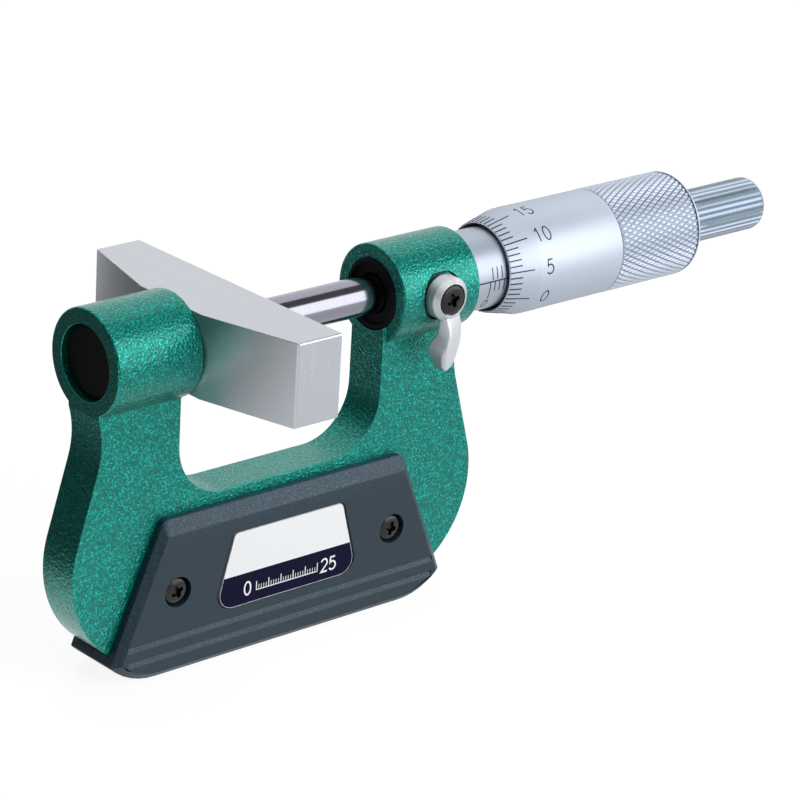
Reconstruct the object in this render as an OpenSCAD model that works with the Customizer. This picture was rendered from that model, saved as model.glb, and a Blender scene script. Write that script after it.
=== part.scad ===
// Large anvil micrometer, 0 to 25 mm, 0.5 mm screw and 0.01 mm reading.
// The origin is the centre of the anvil's measuring face, +X runs along the spindle towards the
// thimble, -Y is the front with the lock lever and the label, and +Z is up. Millimetres.

/* [Measuring] */
// Opening between the measuring faces as modelled
opening = 3.54; // [0:0.01:25]
// Measuring range
travel = 25; // [20:1:25]
// Diameter of the spindle
spindle_d = 6.35; // [6:0.05:7]
// Length of the hard metal tip on the spindle
tip_l = 1.5; // [1:0.1:2.5]

/* [Anvil] */
// Width of the anvil, across the frame
anvil_w = 50; // [36:1:60]
// Height of the anvil
anvil_h = 13.7; // [11:0.1:15]
// Thickness of the anvil in the middle
anvil_t = 13.05; // [12:0.05:15]
// Thickness of the anvil at its ends
anvil_end_t = 8.6; // [6:0.1:10]
// Width of the flat on the anvil's back
anvil_flat_w = 15.1; // [14:0.1:22]
// Diameter of the spigot that locates the anvil in its boss
spigot_d = 10; // [8:0.5:11]
// Length of that spigot
spigot_l = 5; // [3:0.5:6]
// Thread diameter of the screw that holds the anvil
anvil_screw_d = 5; // [4:1:6]

/* [Frame] */
// Thickness of the frame's plate
frame_t = 7.8; // [7:0.1:9]
// Distance from the anvil's face to the spindle boss
jaw_gap = 27.5; // [26.5:0.5:32]
// Depth of the throat below the spindle's axis
throat_depth = 25.05; // [22:0.5:28]
// Radius of the throat's corners
throat_r = 9.3; // [6:0.1:11]
// Diameter of the boss that carries the anvil
anvil_boss_d = 17.1; // [16:0.1:19]
// Length of the boss that carries the anvil
anvil_boss_l = 16; // [15:0.5:20]
// Diameter of the boss that carries the spindle
spindle_boss_d = 16.3; // [15.5:0.1:18]
// Length of the boss that carries the spindle
spindle_boss_l = 16.1; // [15:0.1:20]
// Diameter of the hole for the plug in the anvil boss
plug_d = 12; // [11:0.5:13]
// How far the frame's lower lobes stand out past the bosses
lobe_out = 4.15; // [2:0.05:6]
// Radius of the lower lobes
lobe_r = 17.7; // [14:0.1:19]
// Height of the frame from the spindle's axis down to its lower edge
frame_depth = 51.2; // [48:0.1:56]
// How far the waist under each boss is drawn in
waist_in = 0.7; // [0.4:0.1:1.5]
// Radius of the waist
waist_r = 14; // [10:0.5:18]

/* [Covers] */
// Thickness of each cover on the frame's face
cover_t = 2.4; // [2:0.1:3.5]
// Width of a cover along its top edge
cover_w = 48.7; // [42:0.1:52]
// Lean of a cover's ends
cover_lean = 22.8; // [18:0.1:25]
// Distance from the throat down to a cover's top edge
cover_drop = 1.75; // [1:0.05:4]
// Thickness of the covers under the frame
sole_t = 1.75; // [1.2:0.05:3]
// Length of the flat that the micrometer stands on
sole_w = 50.4; // [44:0.1:54]
// Radius of the covers' lower corners
sole_r = 12; // [9:0.5:13]
// Width of the bevel round a cover's face
cover_bevel = 1.2; // [0.6:0.1:1.6]
// Distance between the cover screws
screw_span = 43.8; // [40:0.2:46]
// Height of the cover screws below the spindle's axis
screw_drop = 39; // [37:0.5:41]
// Diameter of a cover screw's head
screw_head_d = 4.5; // [4:0.1:5]
// Thread diameter of a cover screw
screw_d = 2.5; // [2:0.5:3]

/* [Label] */
// Width of the label along its top edge
label_w = 22.6; // [16:0.2:28]
// Height of the label
label_h = 12.6; // [8:0.2:13]
// Height of the label's top edge below the spindle's axis
label_drop = 31.8; // [31:0.1:33]
// Thickness of the label's plate
label_t = 0.4; // [0.3:0.05:0.6]

/* [Lock] */
// Distance of the lock's axis from the spindle boss's inner face
lock_in = 8.2; // [7:0.1:10]
// Height of the lock's axis above the spindle's
lock_up = 0.4; // [0:0.1:0.6]
// Diameter of the lever's hub
hub_d = 7.3; // [6.6:0.1:7.6]
// Reach of the lever from the lock's axis to its tip
lever_l = 12.2; // [11:0.1:16]
// Thread diameter of the lock's stud
stud_d = 4.8; // [4:0.1:5]
// Diameter of the pad that presses on the spindle
pad_d = 3.1; // [2.5:0.1:3.4]

/* [Sleeve] */
// Diameter of the graduated sleeve
sleeve_d = 13.44; // [13:0.02:14]
// Wall of the graduated sleeve
sleeve_wall = 0.9; // [0.7:0.05:1.1]
// Distance from the spindle boss to the sleeve's zero mark
zero_in = 3.56; // [2.5:0.02:5]
// Length of the thread inside the inner sleeve
nut_l = 10; // [8:0.5:12]
// Diameter of the spindle's thread
thread_d = 7.2; // [7:0.1:7.6]

/* [Thimble] */
// Diameter of the thimble
thimble_d = 17.76; // [17.4:0.02:18.4]
// Length of the thimble
thimble_l = 42.9; // [42.4:0.1:45]
// Diameter of the thimble's front edge
edge_d = 15.04; // [14.9:0.02:15.6]
// Length of the graduated bevel
bevel_l = 5.7; // [4:0.1:7]
// Distance from the thimble's front edge to its knurl
knurl_start = 24.4; // [20:0.1:26]
// Plain length behind the knurl
knurl_end = 1.5; // [1.2:0.1:2.5]
// Depth of the knurl
knurl_depth = 0.3; // [0.2:0.02:0.4]
// Diamonds round the thimble
knurl_n = 56; // [40:2:56]
// Rows of diamonds along the thimble
knurl_rows = 17; // [10:1:18]

/* [Ratchet] */
// Diameter of the ratchet's knob
knob_d = 9.16; // [8.8:0.02:9.8]
// Length of the ratchet's knob
knob_l = 20.2; // [18:0.1:24]
// Grooves round the knob
knob_n = 30; // [20:1:34]
// Teeth on each face of the ratchet
ratchet_teeth = 12; // [8:4:16]
// Height of a ratchet tooth
tooth_h = 0.45; // [0.3:0.05:0.6]
// Wire diameter of the ratchet's spring
wire_d = 0.6; // [0.4:0.05:0.7]
// Turns of the ratchet's spring
spring_turns = 6; // [4:1:7]

/* [Hidden] */
$fn = 96;

// Clearances: a seat that is pushed together, and a fit that turns or slides
seat = 0.02;
slip = 0.03;
// Clearance between pieces that pass each other
pass = 0.3;
// Small chamfer on turned and ground edges
edge = 0.25;
// Overshoot of a cut past the face that it opens
over = 1;

// Places along the spindle's axis
anvil_boss_in = -anvil_t;
anvil_boss_out = anvil_boss_in - anvil_boss_l;
spindle_boss_out = jaw_gap + spindle_boss_l;
zero_x = spindle_boss_out + zero_in;
thimble_x = zero_x + opening;

// The frame's middle, its lobes and its waists
frame_x = (anvil_boss_out + spindle_boss_out) / 2;
frame_half = (spindle_boss_out - anvil_boss_out) / 2;
boss_proud = 0.4;
lobe_c = [frame_half + lobe_out - lobe_r, lobe_r - frame_depth];
waist_c = [frame_half - waist_in + waist_r, -12.4];

// Plug, anvil screw and the ring round the spindle
plug_t = 1.6;
plug_sunk = 1.1;
plug_chamfer = 0.7;
screw_seat_x = anvil_boss_in - spigot_l - 3.4;
anvil_head_d = 1.7 * anvil_screw_d;
anvil_head_l = 0.8 * anvil_screw_d;
anvil_thread_l = 10;
ring_d = 11.84;
ring_l = 2.5;
ring_lip = 0.25;
ring_gap = 0.25;

// Sleeves
sleeve_in_d = sleeve_d - 2 * sleeve_wall;
shank_d = 9.8;
guide_end = spindle_boss_out + 0.9;
sleeve_end = zero_x + travel + 2.4;
inner_stand = 5;
inner_end = sleeve_end + inner_stand;
slit_w = 0.5;
slit_l = nut_l + 3;
slits = 3;
nut_d = sleeve_d - 0.3;
nut_ring_l = 3.6;
nut_thread_d = sleeve_in_d - 1.2;
spanner_hole_d = 1.4;

// Spindle
guide_l = guide_end + 0.5;
thread_end = inner_end + 1.3 + opening;
taper_l = 6.5;
taper_in_r = thread_d / 2 - 0.2;
taper_out_r = taper_in_r - 0.5;

// Thimble
bore_d = sleeve_d + 2 * pass + 0.26;
web_x = thread_end + 0.5;
seat_x = web_x + taper_l;
thimble_end = thimble_x + thimble_l;
knurl_x = thimble_x + knurl_start;
knurl_l = thimble_l - knurl_start - knurl_end;
knurl_valley_r = thimble_d / 2 - knurl_depth + 0.05;
knurl_core_r = knurl_valley_r - 0.15;
rim_r = 1.3;
lip = 0.1;
lip_l = 0.6;

// Ratchet
knob_x = thimble_end + pass;
knob_end = knob_x + knob_l;
knob_wall = 0.9;
knob_bore_d = knob_d - 2 * knob_wall;
crown_d = knob_bore_d - 2 * pass;
crown_x = knob_x + 1.3;
clutch_t = 2;
axle_d = 3.4;
knob_cap = 4;
knob_floor = knob_end - knob_cap;
screw_pocket = 1.6;
collar_l = 1.2;
collar_d = knob_d - 0.5;
groove_w = 0.3;
groove_depth = 0.22;
key_w = 1.6;
key_h = 0.45;
key_slot_l = 6;
post_thread_d = 3;
post_thread_l = 8;
screw_thread_d = 2;
screw_thread_l = 5;
screw_pocket_d = 5.6;
tooth_gap = 0.05;
tooth_turn = 1.5;

// Lock
lock_x = jaw_gap + lock_in;
hub_back = spindle_boss_d / 2 - 0.9;
hub_front = spindle_boss_d / 2 + 1.25;
hub_dome = 0.5;
pocket_y = hub_back - 0.25;
washer_t = 0.12;
screw_dish_d = 5.24;
dish_y = hub_back + 1.35;
spline_d = 4;
lock_gap = 0.12;
stud_end = shank_d / 2 + 0.25;
lock_head_d = 4.9;

// Covers and their screws
face_y = frame_t / 2 + cover_t;
cover_top = -throat_depth - cover_drop;
sole_z = -frame_depth - sole_t;
cover_top_bevel = cover_t;
wall_y = face_y - cover_bevel;
seam = 0.06;
head_y = frame_t / 2 + 0.8;
head_t = 1.35;
head_dome = 0.25;
screw_l = 4.2;
rib_z = [-46.1, -48.7];
rib_half = 31.2;
rib_h = 1.1;
rib_depth = 0.35;
label_lean = 15.5;
label_top_r = 0.9;
label_low_r = 2.6;

green = "#1f8a76";
steel = "#c9ccd0";
satin = "#b9c4cf";
dark = "#3d4851";
black = "#151515";

function unit(v) = v / norm(v);
function swing(a) = a > 180 ? a - 360 : a < -180 ? a + 360 : a;

// The points that round the corner q between p and s to the radius r
function corner(p, q, s, r) = r == 0 ? [q] :
    let (d1 = unit(p - q), d2 = unit(s - q), half = acos(d1 * d2) / 2,
         c = q + unit(d1 + d2) * r / sin(half),
         v1 = q + d1 * r / tan(half) - c, v2 = q + d2 * r / tan(half) - c,
         a1 = atan2(v1.y, v1.x), turned = swing(atan2(v2.y, v2.x) - a1),
         n = ceil(abs(turned) / 7.5))
    [for (i = [0:n]) c + r * [cos(a1 + turned * i / n), sin(a1 + turned * i / n)]];

// An outline given as [x, y, radius] corners, with its corners rounded
function rounded(pts) = let (n = len(pts), xy = [for (p = pts) [p.x, p.y]])
    [for (i = [0:n - 1]) each corner(xy[(i + n - 1) % n], xy[i], xy[(i + 1) % n], pts[i].z)];

function mirrored(pts) = concat(pts, [for (i = [len(pts) - 1:-1:0]) [-pts[i].x, pts[i].y, pts[i].z]]);

// A turned shape about the spindle's axis, from [x, radius] points
module turned(pts) rotate([0, 90, 0]) rotate_extrude() polygon([for (p = pts) [p.y, p.x]]);

module rod(x0, x1, d) translate([x0, 0, 0]) rotate([0, 90, 0]) cylinder(h = x1 - x0, d = d);

// A rod along Y at the place [x, z]
module cross_rod(place, y0, y1, d)
    translate([place.x, y0, place.y]) rotate([-90, 0, 0]) cylinder(h = y1 - y0, d = d);

// An outline in X and Z, extruded along Y
module plate(y0, y1) translate([0, y1, 0]) rotate([90, 0, 0]) linear_extrude(y1 - y0) children();

module at_frame() translate([frame_x, 0, 0]) children();

// The straight edge that touches both the lobe and the waist
lobe_to_waist = waist_c - lobe_c;
edge_lean = atan2(lobe_to_waist.y, lobe_to_waist.x) - acos((lobe_r + waist_r) / norm(lobe_to_waist));
edge_normal = [cos(edge_lean), sin(edge_lean)];

// The frame's outer outline, without the throat. grow sets its lower edge out
module frame_body_outline(grow = 0) {
    lobe_edge = lobe_c + (lobe_r + grow) * edge_normal;
    waist_edge = waist_c - (waist_r - grow) * edge_normal;
    right = [[lobe_c.x, -frame_depth - grow], lobe_edge, waist_edge, [frame_half, waist_c.y],
             [frame_half, 0]];
    difference() {
        union() {
            polygon(concat(right, [for (i = [len(right) - 1:-1:0]) [-right[i].x, right[i].y]]));
            for (side = [-1, 1]) translate([side * lobe_c.x, lobe_c.y]) circle(r = lobe_r + grow);
        }
        for (side = [-1, 1]) translate([side * waist_c.x, waist_c.y]) circle(r = waist_r - grow);
    }
}

module throat_outline() {
    left = anvil_boss_in - boss_proud - frame_x;
    right = jaw_gap - boss_proud - frame_x;
    difference() {
        translate([left, -throat_depth]) square([right - left, throat_depth + over]);
        for (side = [0, 1]) translate([side == 0 ? left : right, -throat_depth])
            mirror([side, 0]) difference() {
                translate([-over, -over]) square(throat_r + over);
                translate([throat_r, throat_r]) circle(r = throat_r);
            }
    }
}

module boss(x0, x1, d) turned([[x0, 0], [x0, d / 2 - edge], [x0 + edge, d / 2], [x1 - edge, d / 2],
                               [x1, d / 2 - edge], [x1, 0]]);

module frame() color(green) difference() {
    union() {
        at_frame() plate(-frame_t / 2, frame_t / 2) difference() {
            frame_body_outline();
            throat_outline();
        }
        boss(anvil_boss_out, anvil_boss_in, anvil_boss_d);
        boss(jaw_gap, spindle_boss_out, spindle_boss_d);
    }
    rod(anvil_boss_out - over, screw_seat_x, plug_d);
    rod(screw_seat_x - over, anvil_boss_in + over, anvil_screw_d + 2 * slip);
    rod(anvil_boss_in - spigot_l - slip, anvil_boss_in + over, spigot_d + 2 * seat);
    rod(jaw_gap - over, jaw_gap + ring_l, ring_d + 2 * seat);
    rod(jaw_gap, spindle_boss_out + over, shank_d + 2 * seat);
    cross_rod([lock_x, lock_up], -spindle_boss_d, -pocket_y, hub_d + 0.7);
    cross_rod([lock_x, lock_up], -spindle_boss_d / 2, 0, stud_d + 2 * seat);
    for (side = [-1, 1])
        cross_rod([frame_x + side * screw_span / 2, -screw_drop], -frame_t, frame_t, screw_d + 2 * seat);
}

module anvil() color(steel) difference() {
    union() {
        intersection() {
            translate([0, 0, -anvil_h / 2]) linear_extrude(anvil_h) polygon([
                [0, -anvil_w / 2 + edge], [0, anvil_w / 2 - edge], [-edge, anvil_w / 2],
                [edge - anvil_end_t, anvil_w / 2], [-anvil_end_t, anvil_w / 2 - edge],
                [-anvil_t, anvil_flat_w / 2], [-anvil_t, -anvil_flat_w / 2],
                [-anvil_end_t, edge - anvil_w / 2], [edge - anvil_end_t, -anvil_w / 2],
                [-edge, -anvil_w / 2]]);
            plate(-anvil_w, anvil_w) polygon([
                [0, anvil_h / 2 - edge], [-edge, anvil_h / 2], [-2 * anvil_t, anvil_h / 2],
                [-2 * anvil_t, -anvil_h / 2], [-edge, -anvil_h / 2], [0, edge - anvil_h / 2]]);
            rotate([90, 0, 90]) translate([0, 0, -2 * anvil_t]) linear_extrude(3 * anvil_t) polygon([
                [-anvil_w / 2, edge - anvil_h / 2], [edge - anvil_w / 2, -anvil_h / 2],
                [anvil_w / 2 - edge, -anvil_h / 2], [anvil_w / 2, edge - anvil_h / 2],
                [anvil_w / 2, anvil_h / 2 - edge], [anvil_w / 2 - edge, anvil_h / 2],
                [edge - anvil_w / 2, anvil_h / 2], [-anvil_w / 2, anvil_h / 2 - edge]]);
        }
        turned([[anvil_boss_in - spigot_l, 0], [anvil_boss_in - spigot_l, spigot_d / 2 - edge],
                [anvil_boss_in - spigot_l + edge, spigot_d / 2], [over - anvil_t, spigot_d / 2],
                [over - anvil_t, 0]]);
    }
    rod(-anvil_t - spigot_l - over, -anvil_t - spigot_l + anvil_thread_l + over, anvil_screw_d + 2 * seat);
}

module anvil_screw() color("#8d9196") difference() {
    union() {
        turned([[screw_seat_x - anvil_head_l, 0], [screw_seat_x - anvil_head_l, anvil_head_d / 2 - edge],
                [screw_seat_x - anvil_head_l + edge, anvil_head_d / 2], [screw_seat_x, anvil_head_d / 2],
                [screw_seat_x, 0]]);
        rod(screw_seat_x - edge, -anvil_t - spigot_l + anvil_thread_l, anvil_screw_d);
    }
    translate([screw_seat_x - anvil_head_l - over, 0, 0]) rotate([0, 90, 0])
        cylinder(h = anvil_head_l / 2 + over, d = 0.92 * anvil_screw_d, $fn = 6);
}

module anvil_plug() color(black) turned([
    [anvil_boss_out + plug_sunk, 0], [anvil_boss_out + plug_sunk, plug_d / 2 - plug_chamfer],
    [anvil_boss_out + plug_sunk + plug_chamfer / 2, plug_d / 2 - seat],
    [anvil_boss_out + plug_sunk + plug_t, plug_d / 2 - seat], [anvil_boss_out + plug_sunk + plug_t, 0]]);

// The ring stands a little proud of the boss, with a groove in its face
module spindle_ring() color(black) turned([
    [jaw_gap + ring_l, spindle_d / 2 + ring_gap], [jaw_gap + ring_lip, spindle_d / 2 + ring_gap],
    [jaw_gap + ring_lip, ring_d / 2 - 1], [jaw_gap - ring_lip, ring_d / 2 - 0.8],
    [jaw_gap - ring_lip, ring_d / 2 - 0.3], [jaw_gap, ring_d / 2], [jaw_gap + ring_l, ring_d / 2]]);

module inner_sleeve() color(steel) difference() {
    turned([[jaw_gap + ring_l, 0], [jaw_gap + ring_l, shank_d / 2], [spindle_boss_out, shank_d / 2],
            [spindle_boss_out, sleeve_in_d / 2 - seat], [sleeve_end, sleeve_in_d / 2 - seat],
            [sleeve_end, nut_thread_d / 2 - seat], [inner_end, nut_thread_d / 2 - seat], [inner_end, 0]]);
    rod(jaw_gap, inner_end + over, spindle_d + 2 * slip);
    rod(guide_end, inner_end + over, thread_d + 2 * slip);
    rod(guide_end, inner_end - nut_l, thread_d + 1);
    cross_rod([lock_x, lock_up], -spindle_boss_d, 0, pad_d + 2 * slip);
    for (i = [0:slits - 1]) rotate([i * 360 / slits, 0, 0])
        translate([inner_end - slit_l, 0, -slit_w / 2]) cube([slit_l + over, sleeve_d, slit_w]);
}

module taper_nut() color("#9aa0a6") difference() {
    turned([[sleeve_end + pass, nut_thread_d / 2], [sleeve_end + pass, nut_d / 2],
            [sleeve_end + nut_ring_l - edge, nut_d / 2], [sleeve_end + nut_ring_l, nut_d / 2 - edge],
            [sleeve_end + nut_ring_l, nut_thread_d / 2]]);
    for (side = [0, 1]) mirror([0, side, 0])
        translate([sleeve_end + nut_ring_l - 1.2, nut_d / 2 - 0.8, -0.6]) cube([over + 1.2, over + 0.8, 1.2]);
}

module outer_sleeve() color(satin) difference() {
    turned([[spindle_boss_out, sleeve_in_d / 2], [spindle_boss_out, sleeve_d / 2 - edge / 2],
            [spindle_boss_out + edge / 2, sleeve_d / 2], [sleeve_end - edge, sleeve_d / 2],
            [sleeve_end, sleeve_d / 2 - edge], [sleeve_end, sleeve_in_d / 2]]);
    cross_rod([spindle_boss_out + 1.8, 0], 0, sleeve_d, spanner_hole_d);
}

// One cover's outline below the throat, and its outline at the face inside the bevels
module cover_outline(inset, top_inset) {
    slope = tan(cover_lean);
    side = cover_w / 2 - inset / cos(cover_lean);
    low = sole_z + inset;
    flat = sole_w / 2;
    r = sole_r - inset;
    top_r = max(0.4, 1.6 - inset);
    difference() {
        polygon(rounded(mirrored([[side + (cover_top - low) * slope, low, 0],
                                  [side + top_inset * slope, cover_top - top_inset, top_r]])));
        for (s = [0, 1]) mirror([s, 0]) difference() {
            translate([flat, low - over]) square([sole_r + over, r + over]);
            translate([flat, low + r]) circle(r = r, $fn = 48);
        }
    }
}

module cover(labelled) color(dark) difference() {
    at_frame() hull() {
        plate(-wall_y, -seam / 2) cover_outline(0, 0);
        plate(-face_y, -face_y + 0.02) cover_outline(cover_bevel, cover_top_bevel);
    }
    at_frame() plate(-frame_t / 2, over) frame_body_outline(seam);
    for (side = [-1, 1]) {
        place = [frame_x + side * screw_span / 2, -screw_drop];
        cross_rod(place, -face_y - over, -head_y, screw_head_d + 0.55);
        cross_rod(place, -face_y, 0, screw_d + 2 * pass / 3);
    }
    for (z = rib_z) at_frame() translate([-rib_half, 0, 0]) rotate([90, 0, 90])
        linear_extrude(2 * rib_half) polygon([
            [-face_y - over, z], [-face_y, z], [rib_depth - face_y, z - rib_h / 6], [-face_y, z - rib_h],
            [-face_y - over, z - rib_h]]);
    if (labelled) at_frame() plate(-face_y - over, label_t - face_y) label_outline(0.08);
}

module front_cover() cover(true);

module rear_cover() mirror([0, 1, 0]) cover(false);

module label_outline(grow) {
    top = -label_drop + grow;
    side = label_w / 2 + grow;
    drop = label_h + 2 * grow;
    polygon(rounded(mirrored([[side + drop * tan(label_lean), top - drop, label_low_r + grow],
                              [side, top, label_top_r + grow]])));
}

module label_plate() color("white") at_frame() plate(-face_y - 0.06, label_t - face_y) label_outline(0);

module cross_recess(size, depth) for (a = [0, 90]) rotate([0, 0, a])
    translate([-size / 2, -size / 8, -depth]) cube([size, size / 4, depth + over]);

// A domed cross-recessed screw head standing on z = 0, with its shank below
module cross_screw(head_d, head_h, dome, shank_d, shank_l, recess) difference() {
    union() {
        rotate_extrude() polygon([[0, 0], [head_d / 2, 0], [head_d / 2, head_h - dome],
                                  [0.8 * head_d / 2, head_h - 0.4 * dome], [0.5 * head_d / 2, head_h],
                                  [0, head_h]]);
        translate([0, 0, -shank_l]) cylinder(h = shank_l + edge, d = shank_d);
    }
    translate([0, 0, head_h]) rotate([0, 0, 20]) cross_recess(recess, 0.75 * head_h);
}

module cover_screws() color(black) for (side = [-1, 1])
    translate([frame_x + side * screw_span / 2, -head_y, -screw_drop]) rotate([90, 0, 0])
        cross_screw(screw_head_d, head_t, head_dome, screw_d, screw_l, 0.55 * screw_head_d);

module front_cover_screws() cover_screws();

module rear_cover_screws() mirror([0, 1, 0]) cover_screws();

module lock_pad() color("#b08d45")
    cross_rod([lock_x, lock_up], -stud_end + seat, -spindle_d / 2 - lock_gap, pad_d);

module lock_washer() color("#8d9196") difference() {
    cross_rod([lock_x, lock_up], -pocket_y - washer_t, -pocket_y, hub_d - 0.2);
    cross_rod([lock_x, lock_up], -hub_back - over, 0, stud_d + 2 * pass);
}

module lock_stud() color("#9aa0a6") difference() {
    union() {
        cross_rod([lock_x, lock_up], -hub_back + seat, -stud_end, stud_d);
        cross_rod([lock_x, lock_up], -dish_y + pass / 2, -hub_back + edge, spline_d);
    }
    cross_rod([lock_x, lock_up], -dish_y - over, -stud_end - 0.8, screw_d + 2 * seat);
}

// The lever's outlines, as shares of its hub's diameter across it and of its reach along it
module lever_front_outline() polygon(rounded([
    for (p = [[-0.22, -0.12, 0], [-0.14, -0.41, 0.55], [-0.23, -0.68, 0.41], [-0.14, -0.99, 0.07],
              [0.1, -0.99, 0.12], [0.34, -0.82, 0.27], [0.39, -0.52, 0.41], [0.29, -0.12, 0]])
        [p.x * hub_d, p.y * lever_l, p.z * hub_d]]));

// Its side has the front at -x, counted from the hub's front face
module lever_side_outline() polygon(rounded([
    for (p = [[0, -0.12, 0], [0, -0.2, 0.11], [-0.15, -0.38, 0.27], [-0.12, -0.7, 0.55],
              [-0.08, -1, 0.11], [0.12, -1, 0.07], [0.3, -0.74, 0.2], [0.3, -0.61, 0.14],
              [0.15, -0.46, 0.14], [0.15, -0.12, 0]])
        [p.x * hub_d - hub_front, p.y * lever_l, p.z * hub_d]]));

// From above it comes to a blunt ridge, with the front at -y counted from the hub's front face
module lever_top_outline() polygon(rounded([
    for (p = [[-0.38, 0.33, 0.02], [0, -0.08, 0.1], [0.46, 0.05, 0.06],
              [0.46, 0.4, 0.02], [-0.38, 0.4, 0.02]])
        [p.x * hub_d, p.y * hub_d - hub_front, p.z * hub_d]]));

module lock_lever() color("#c3c7c9") translate([lock_x, 0, lock_up]) difference() {
    union() {
        rotate([90, 0, 0]) rotate_extrude() polygon([
            [0, hub_back], [hub_d / 2 - 0.1, hub_back], [hub_d / 2, hub_back + 0.1],
            [hub_d / 2, hub_front - 0.15], [hub_d / 2 - 0.15, hub_front],
            [screw_dish_d / 2, hub_front + hub_dome], [0, hub_front + hub_dome]]);
        intersection() {
            plate(-2 * spindle_boss_d, 0) lever_front_outline();
            rotate([90, 0, 90]) translate([0, 0, -hub_d]) linear_extrude(2 * hub_d) lever_side_outline();
            translate([0, 0, -2 * lever_l]) linear_extrude(3 * lever_l) lever_top_outline();
        }
    }
    cross_rod([0, 0], -hub_front - over, -dish_y, screw_dish_d);
    cross_rod([0, 0], -hub_front, 0, spline_d + 2 * seat);
}

module lock_screw() color(black) translate([lock_x, -dish_y, lock_up]) rotate([90, 0, 0])
    cross_screw(lock_head_d, hub_front + hub_dome - dish_y, 0.6, screw_d, dish_y - stud_end - 1.2, 2.6);

module spindle() color(steel) difference() {
    turned([[opening + tip_l, 0], [opening + tip_l, spindle_d / 2], [guide_l + opening, spindle_d / 2],
            [guide_l + opening, thread_d / 2 - 0.3], [guide_l + opening + 0.3, thread_d / 2],
            [thread_end, thread_d / 2], [thread_end + 0.5, taper_in_r],
            [thread_end + taper_l, taper_out_r], [thread_end + taper_l, 0]]);
    rod(thread_end + taper_l - post_thread_l - 1, thread_end + taper_l + over, post_thread_d + 2 * seat);
}

module spindle_tip() color("#8f949a") turned([
    [opening, 0], [opening, spindle_d / 2 - 0.1], [opening + 0.1, spindle_d / 2],
    [opening + tip_l, spindle_d / 2], [opening + tip_l, 0]]);

// Diamond knurl: a band whose crossing grooves leave pyramids, on a grid of valleys and peaks
module knurl_band() {
    rows = 2 * knurl_rows;
    cols = 2 * knurl_n;
    function peak(i, j) = i > 0 && i < rows && (i + j) % 2 == 0;
    function ring(x, j, r) = let (a = j * 360 / cols) [x, r * cos(a), r * sin(a)];
    outer = [for (i = [0:rows], j = [0:cols - 1])
        ring(knurl_x + i * knurl_l / rows, j, knurl_valley_r + (peak(i, j) ? knurl_depth : 0))];
    inner = [for (i = [0, rows], j = [0:cols - 1])
        ring(knurl_x + i * knurl_l / rows, j, knurl_core_r - 0.3)];
    last = rows * cols;
    base = len(outer);
    faces = [for (i = [0:rows - 1], j = [0:cols - 1])
        let (k = (j + 1) % cols, a = i * cols + j, b = i * cols + k, c = a + cols, d = b + cols)
        each (i + j) % 2 == 0 ? [[a, c, b], [b, c, d]] : [[a, d, b], [a, c, d]]];
    ends = [for (j = [0:cols - 1]) let (k = (j + 1) % cols)
        each [[j, base + k, base + j], [j, k, base + k],
              [last + j, base + cols + k, last + k], [last + j, base + cols + j, base + cols + k],
              [base + j, base + cols + k, base + cols + j], [base + j, base + k, base + cols + k]]];
    polyhedron(concat(outer, inner), concat(faces, ends));
}

module thimble() color(satin) {
    edge_r = edge_d / 2;
    r = thimble_d / 2;
    rim = [for (a = [0:15:90]) [thimble_end - rim_r + rim_r * sin(a), r - rim_r + rim_r * cos(a)]];
    turned(concat(
        [[thimble_x + lip_l, bore_d / 2], [thimble_x, edge_r - lip], [thimble_x, edge_r],
         [thimble_x + bevel_l, r], [knurl_x, r],
         [knurl_x, knurl_core_r], [knurl_x + knurl_l, knurl_core_r], [knurl_x + knurl_l, r]],
        rim,
        [[thimble_end, crown_d / 2 + pass], [seat_x, crown_d / 2 + pass],
         [seat_x, taper_out_r + slip], [web_x, taper_in_r + slip], [web_x, bore_d / 2]]));
    knurl_band();
}

// A ring of radial saw teeth that rise from the plane x = 0, on a base below it
module crown(r_in, r_out, base) {
    steps = 3;
    cols = ratchet_teeth * steps;
    function at(x, a, r) = [x, r * cos(a * 360 / cols), r * sin(a * 360 / cols)];
    // Each column runs between two angles, and the last of a tooth ends at its upright wall
    points = [for (r = [r_in, r_out]) each concat(
        [for (a = [0:cols - 1]) at(-base, a, r)],
        [for (a = [0:cols - 1]) at(tooth_h * (a % steps) / steps, a, r)],
        [for (a = [0:steps:cols - 1]) at(tooth_h, a, r)])];
    ring = 2 * cols + ratchet_teeth;
    function high(a) = let (b = (a + 1) % cols)
        b % steps == 0 ? 2 * cols + b / steps : cols + b;
    faces = [for (a = [0:cols - 1])
        let (b = (a + 1) % cols, low = cols + a, top = high(a), wall = b % steps == 0)
        each concat(
            [[low, top + ring, low + ring], [low, top, top + ring],
             [a, b + ring, b], [a, a + ring, b + ring]],
            wall ? [[a, b, cols + b, top, low], [b + ring, a + ring, low + ring, top + ring, cols + b + ring],
                    [top, cols + b + ring, top + ring], [top, cols + b, cols + b + ring]]
                 : [[a, b, top, low], [b + ring, a + ring, low + ring, top + ring]])];
    polyhedron(points, faces);
}

module ratchet_post() color("#a7acb1") difference() {
    union() {
        turned([[seat_x - post_thread_l, 0], [seat_x - post_thread_l, post_thread_d / 2 - edge],
                [seat_x - post_thread_l + edge, post_thread_d / 2], [seat_x, post_thread_d / 2],
                [seat_x, crown_d / 2], [crown_x, crown_d / 2], [crown_x, axle_d / 2],
                [knob_end - screw_pocket - slip, axle_d / 2], [knob_end - screw_pocket - slip, 0]]);
        intersection() {
            rod(crown_x - over, crown_x + over, crown_d);
            translate([crown_x, 0, 0]) crown(axle_d / 4, crown_d, over / 2);
        }
    }
    rod(knob_end - screw_pocket - screw_thread_l - over, knob_end, screw_thread_d + 2 * seat);
}

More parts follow.
